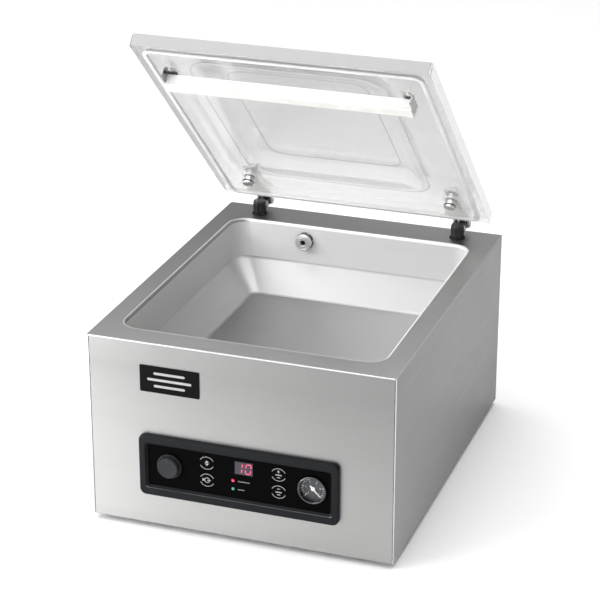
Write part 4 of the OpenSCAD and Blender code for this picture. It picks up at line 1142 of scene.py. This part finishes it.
def pins_and_springs():
    """Dished pin heads, and a coil spring round each pin."""
    pins, springs = bmesh.new(), bmesh.new()
    head, r, dish, head_t = 3.7 * MM, 2.5 * MM, 0.5 * MM, 1.2 * MM
    # One end of a pin, as radius and depth from the end
    cap = [(0, dish), (1.6 * MM, dish), (2 * MM, 0), (head - dish, 0), (head, dish), (head, head_t),
           (r, head_t)]
    for _, low, high, middle_at in halves("hinge_pins"):
        half = (high.x - low.x) / 2
        centre = OPENED @ shift(middle_at.x, PIVOT.y, PIVOT.z)
        section = [(x, d - half) for x, d in cap] + [(x, half - d) for x, d in cap[::-1]]
        add_lathe(pins, section, centre @ turn(90, "Y"), 32)
        turns, wire, coil, steps = 3, 1.0 * MM, 5.8 * MM, 72
        start = -3 * MM
        path = []
        for i in range(steps + 1):
            a = 2 * math.pi * turns * i / steps + math.pi / 2
            path.append(Vector((start * (1 - 2 * i / steps), coil * math.cos(a), coil * math.sin(a))))
        path.append(path[-1] + Vector((0, -9.5 * MM, 1.0 * MM)))
        add_tube(springs, path, wire, 10, centre)
    piece("hinge_pin_pair", pins, STEEL_BRIGHT, "lid", "bright_steel", "hinge_pins")
    piece("coiled_springs", springs, SPRING_STEEL, "lid", "spring_steel", "hinge_springs")


# ---------------------------------------------------------------- lid

FOLD = 1.6 * MM
DOME_Y = PIVOT.y - 298 * MM


def shrunk(section, inset):
    """A section (width, depth, corner, height) with its outline moved inwards."""
    width, depth, corner, z = section
    return width - 2 * inset, depth - 2 * inset, corner - inset, z


def past_outline(at, section, centre):
    """How far a point lies outside a section's rounded outline."""
    width, depth, corner, _ = section
    dx = max(abs(at.x - centre[0]) - width / 2 + corner, 0)
    dy = max(abs(at.y - centre[1]) - depth / 2 + corner, 0)
    return math.hypot(dx, dy) - corner


def lid():
    """Clear slab with a soft-edged hollow below, a dome above and a groove for the gasket."""
    low, high = box_of("lid", closed=True)
    width, length = high.x - low.x, high.y - low.y
    under = low.z
    top = box_of("hinge_brackets", closed=True)[1].z - LEAF_T
    centre = (0, (low.y + high.y) / 2)
    dome = (0, DOME_Y)
    g_low, g_high = box_of("lid_gasket", closed=True)
    gw, gl = g_high.x - g_low.x, g_high.y - g_low.y
    line = (0, (g_low.y + g_high.y) / 2)
    groove = g_high.z + 0.05 * MM
    rings = []

    def add(w, d, r, z, at=centre):
        """One rounded rectangle, by width, depth, corner and height."""
        rings.append(ring(w, d, r, z, at, steps=12))

    def blend_rings(a, b, at, count=8):
        """Rings from section a to b, both (w, d, r, z), along a soft S-curve."""
        for i in range(1, count):
            t = i / count
            s = t * t * (3 - 2 * t)
            flat = [a[k] + (b[k] - a[k]) * t for k in range(3)]
            add(*flat, a[3] + (b[3] - a[3]) * s, at)

    flat_middle = (120 * MM, 170 * MM, 20 * MM)
    ceiling = (198 * MM, 256 * MM, 25 * MM, under + 15 * MM)
    mouth = (271 * MM, 351 * MM, 36 * MM, under)
    add(*flat_middle, ceiling[3], dome)
    add(*shrunk(ceiling, FOLD), dome)
    add(*ceiling, dome)
    blend_rings(ceiling, mouth, dome)
    add(*mouth, dome)
    add(*shrunk(mouth, -FOLD), dome)
    inner_side = (gw - 12.1 * MM, gl - 12.1 * MM, 9 * MM)
    outer_side = (gw + 0.1 * MM, gl + 0.1 * MM, 15 * MM)
    for side, z in ((inner_side, under), (inner_side, groove), (outer_side, groove), (outer_side, under)):
        add(*side, z, line)
    corner, lower_edge, upper_edge = 5 * MM, 1.2 * MM, 1.8 * MM
    for cos, sin in quarter(3):
        inset = lower_edge * (1 - sin)
        add(width - 2 * inset, length - 2 * inset, corner - inset, under + lower_edge * (1 - cos))
    for cos, sin in quarter(4):
        inset = upper_edge * (1 - cos)
        add(width - 2 * inset, length - 2 * inset, corner - inset, top - upper_edge + upper_edge * sin)
    foot = (290 * MM, 370 * MM, 40 * MM, top)
    crown = (216 * MM, 274 * MM, 26 * MM, high.z)
    add(*foot, dome)
    blend_rings(foot, crown, dome)
    add(*crown, dome)
    add(*flat_middle, high.z, dome)
    bm = bmesh.new()
    add_loft(bm, rings, cap_first=True, cap_last=True)
    # The cut edges get the pale, lit copy and the front edge the grey, shaded copy: painted light and
    # painted shade
    lit_edge_face, shaded_front_face, fold = 1, 2, 3
    for f in bm.faces:
        at = f.calc_center_median()
        out = max(abs(at.x) - width / 2, abs(at.y - centre[1]) - length / 2)
        f.material_index = lit_edge_face if out > -0.5 * MM else 0
        if at.y < low.y + 0.5 * MM:
            f.material_index = shaded_front_face
        # Faces along the two folds get the dark copy of the acrylic: painted shade lines
        for section in (shrunk(ceiling, FOLD), mouth):
            if abs(at.z - section[3]) < 0.01 * MM and 0 < past_outline(at, section, dome) < FOLD:
                f.material_index = fold
    bm.transform(OPENED)
    piece("clear_lid", bm, ACRYLIC_PAINTED_LIGHT, "lid", "clear_acrylic", "lid", smooth=40,
          others=(ACRYLIC_LIT_EDGE, ACRYLIC_SHADED_FRONT, ACRYLIC_FOLD_SHADE))


def gasket():
    """Loop with a rounded lip in the groove of the lid."""
    low, high = box_of("lid_gasket", closed=True)
    centre = (0, (low.y + high.y) / 2)
    w, d = high.x - low.x, high.y - low.y
    t = 6 * MM
    rows = [(0, high.z), (0, low.z + 1.6 * MM), (0.5 * MM, low.z + 0.6 * MM), (1.8 * MM, low.z),
            (t - 1.8 * MM, low.z), (t - 0.5 * MM, low.z + 0.6 * MM), (t, low.z + 1.6 * MM), (t, high.z)]
    rings = [ring(w - 2 * i, d - 2 * i, 15 * MM - i, z, centre) for i, z in rows]
    bm = bmesh.new()
    add_loft(bm, rings, OPENED, closed=True)
    piece("silicone_gasket", bm, SILICONE, "lid", "white_silicone", "lid_gasket")


def counter_bar():
    low, high = box_of("counter_bar", closed=True)
    bm = bmesh.new()
    add_box(bm, low, high, OPENED, bevel=0.9 * MM, segments=3)
    piece("counter_bar_body", bm, WHITE_BAR, "lid", "white_bar", "counter_bar")
    low, high = box_of("counter_strip", closed=True)
    strip = bmesh.new()
    inset = 1.2 * MM
    outline = [(low.y, high.z), (low.y, low.z + 1.6 * MM), (low.y + inset, low.z),
               (high.y - inset, low.z), (high.y, low.z + 1.6 * MM), (high.y, high.z)]
    add_prism(strip, outline, low.x, high.x, OPENED @ YZ, bevel=0.3 * MM)
    piece("counter_bar_strip", strip, CREAM_SILICONE, "lid", "white_silicone", "counter_strip")


def clips():
    """Bent end clips of the counter bar, with their screws."""
    bm = bmesh.new()
    for side, low, high, _ in halves("bar_clips"):
        outer = high.x if side > 0 else -low.x
        inner = low.x if side > 0 else -high.x
        mirror = OPENED @ Matrix.Scale(side, 4, (1, 0, 0))
        t, inner_r, outer_r = 1.5 * MM, 1.6 * MM, 3 * MM
        profile = [(inner, high.z), (inner, high.z - t), (outer - t - inner_r, high.z - t)]
        profile += [(outer - t - inner_r + inner_r * cos, high.z - t - inner_r + inner_r * sin)
                    for cos, sin in quarter(4)[-2::-1]]
        profile += [(outer - t, low.z), (outer, low.z)]
        profile += [(outer - outer_r + outer_r * cos, high.z - outer_r + outer_r * sin)
                    for cos, sin in quarter(4)]
        add_prism(bm, profile, low.y + 2 * MM, high.y, mirror @ XZ, bevel=0.25 * MM)
    piece("counter_bar_clips", bm, STEEL_PART, "lid", "stainless", "bar_clips")
    heads = bmesh.new()
    for _, low, _, centre in halves("clip_screws"):
        at = OPENED @ shift(centre.x, centre.y, low.z + 2.4 * MM) @ Matrix.Rotation(math.pi, 4, "X")
        add_cross_head(heads, 3.8 * MM, 2.3 * MM, at)
        add_rod(heads, 2 * MM, 0.1 * MM, -10 * MM, at)
    piece("clip_pan_screws", heads, STEEL_BRIGHT, "lid", "bright_steel", "clip_screws")


def bolts():
    """Flat-headed bolts with a bush through the lid, sealing rings, and nuts on its outer side."""
    bolts_bm, washers, nuts = bmesh.new(), bmesh.new(), bmesh.new()
    thick, head_r, bush_r, shank_r = 1.2 * MM, 8 * MM, 7 * MM, 4 * MM
    for side, low, high, centre in halves("lid_bolts"):
        at = OPENED @ shift(centre.x, centre.y, low.z)
        w_low, w_high = box_of("bolt_washers", closed=True, side=side)
        head_h, bush_top, end = w_low.z - low.z, w_high.z - low.z, high.z - low.z
        section = [(0, 0.5 * MM), (5.6 * MM, 0.5 * MM), (5.9 * MM, 0), (head_r - 0.6 * MM, 0),
                   (head_r, 0.6 * MM), (head_r, head_h - 0.2 * MM), (head_r - 0.3 * MM, head_h),
                   (bush_r, head_h), (bush_r, bush_top), (shank_r, bush_top), (shank_r, end - 0.6 * MM),
                   (shank_r - 0.6 * MM, end), (0, end)]
        add_lathe(bolts_bm, section, at, 64)
        for z in (w_low.z, w_high.z - thick):
            w_at = OPENED @ shift(centre.x, centre.y, z)
            add_disc(washers, 8.8 * MM, 0.01 * MM, thick, 0.4 * MM, w_at, inner=bush_r + 0.05 * MM)
        n_low, n_high = box_of("lid_nuts", closed=True, side=side)
        n_at = OPENED @ shift(centre.x, centre.y, n_low.z)
        add_prism(nuts, hexagon(6.5 * MM), 0, n_high.z - n_low.z, n_at, bevel=0.6 * MM, segments=3)
    piece("lid_cap_bolts", bolts_bm, STEEL_BRIGHT, "lid", "bright_steel", "lid_bolts", smooth=28)
    piece("sealing_washers", washers, RUBBER, "lid", "rubber_black", "bolt_washers")
    piece("outer_nuts", nuts, STEEL_BRIGHT, "lid", "bright_steel", "lid_nuts")


# ---------------------------------------------------------------- light and camera

FLOOR_REACH = 14
# The strength of the surround on three sides, and the direction of the third
WORLD_LEFT, WORLD_RIGHT, WORLD_REAR = 0.95, 0.55, 0.5
REARWARD = (0.15, 0.97, 0.15)
# Name, place, aim, size and power of each lamp
SOFT_BOXES = (
    ("left_box", (-2.4, -1.8, 2.4), (0, 0, 0.2), (2.4, 2.4), 66),
    ("top_box", (0.2, 0.2, 3.2), (0, 0, 0.2), (2.6, 2.6), 66),
    ("front_box", (-0.6, -3.2, 1.5), (0, 0, 0.2), (1.4, 1.4), 8),
    ("low_box", (-0.85, -1.05, 0.14), (-0.25, -0.265, 0.14), (0.5, 0.24), 8),
)
# The camera that gives the photo's view
LENS_MM, SENSOR_MM = 126.5, 36
EYE = Vector((0.8906, PIVOT.y - 2.8145, 1.3927))
GAZE = Vector((-0.30536, 0.86896, -0.38944))


def linked(name, data):
    made = bpy.data.objects.new(name, data)
    bpy.context.scene.collection.objects.link(made)
    return made


def paper_floor():
    floor = bmesh.new()
    outline = bar(-FLOOR_REACH, -FLOOR_REACH, FLOOR_REACH, FLOOR_REACH)
    floor.faces.new([floor.verts.new((x, y, 0)) for x, y in outline])
    mesh = bpy.data.meshes.new("floor")
    floor.to_mesh(mesh)
    floor.free()
    paper, tree, target = shader("floor_paper")
    fill(tree, target, {"Base Color": (0.93, 0.93, 0.93, 1), "Roughness": 0.9, "Specular IOR Level": 0.1})
    mesh.materials.append(paper)
    linked("floor", mesh)


def pale_surround():
    """White all round, darker to the right and towards the rear."""
    world = bpy.data.worlds.new("studio")
    bpy.context.scene.world = world
    world.use_nodes = True
    tree = world.node_tree
    place = tree.nodes.new("ShaderNodeTexCoord").outputs["Generated"]
    split = added(tree, "ShaderNodeSeparateXYZ", {"Vector": place})
    across = ranged(tree, split.outputs["X"], -0.6, 0.9, WORLD_LEFT, WORLD_RIGHT, soft=True)
    toward = calculated(tree, "ShaderNodeVectorMath", "DOT_PRODUCT", {0: place, 1: REARWARD}, "Value")
    rear = ranged(tree, toward, 0.3, 0.95, 1.0, WORLD_REAR, soft=True)
    strength = calculated(tree, "ShaderNodeMath", "MULTIPLY", {0: across, 1: rear})
    fill(tree, tree.nodes["Background"], {"Color": (1, 1, 1, 1), "Strength": strength})


def soft_boxes():
    for name, at, aim, size, power in SOFT_BOXES:
        lamp = bpy.data.lights.new(name, "AREA")
        lamp.shape = "RECTANGLE"
        lamp.size, lamp.size_y = size
        lamp.energy = power
        holder = linked(name, lamp)
        holder.location = at
        holder.rotation_euler = (Vector(aim) - Vector(at)).to_track_quat("-Z", "Y").to_euler()
        holder.visible_camera = False


def camera():
    lens = bpy.data.cameras.new("camera")
    lens.lens = LENS_MM
    lens.sensor_width = SENSOR_MM
    eye = linked("camera", lens)
    eye.location = EYE
    eye.rotation_euler = GAZE.to_track_quat("-Z", "Y").to_euler()
    bpy.context.scene.camera = eye
    bpy.context.scene.view_settings.view_transform = "Standard"


# ---------------------------------------------------------------- the whole machine

camera()
paper_floor()
pale_surround()
soft_boxes()
deck_and_chamber()
front_panel()
side_panels()
feet()
rear_screws()
bezel()
knob()
keys()
display()
lamps()
gauge()
badge()
nozzle()
seal_bar()
lift_parts()
posts()
brackets()
pins_and_springs()
lid()
gasket()
counter_bar()
clips()
bolts()

finish_cad(STEEL_BACK, "rear_panel", "base_plate")
finish_cad(STEEL_BRIGHT, "foot_screws", "post_nuts", "lift_rods")
finish_cad(FASCIA_FILM, "control_fascia")
finish_cad(DIAL_GREY, "gauge_dial")
finish_cad(DARK_PLASTIC, "gauge_case", "switch_body", "mains_inlet", "solenoid_valve")
finish_cad(BOARD_GREEN, "control_board")
finish_cad(PUMP_PAINT, "pump_body")
finish_cad(RUBBER, "pump_buffers", "vacuum_hose")
finish_cad(MOTOR_PAINT, "motor_housing")
finish_cad(ALUMINIUM, "motor_rotor")
finish_cad(FILTER_WHITE, "exhaust_filter")
finish_cad(LAMINATION, "seal_transformer")
finish_cad(WIRE, "seal_wires")
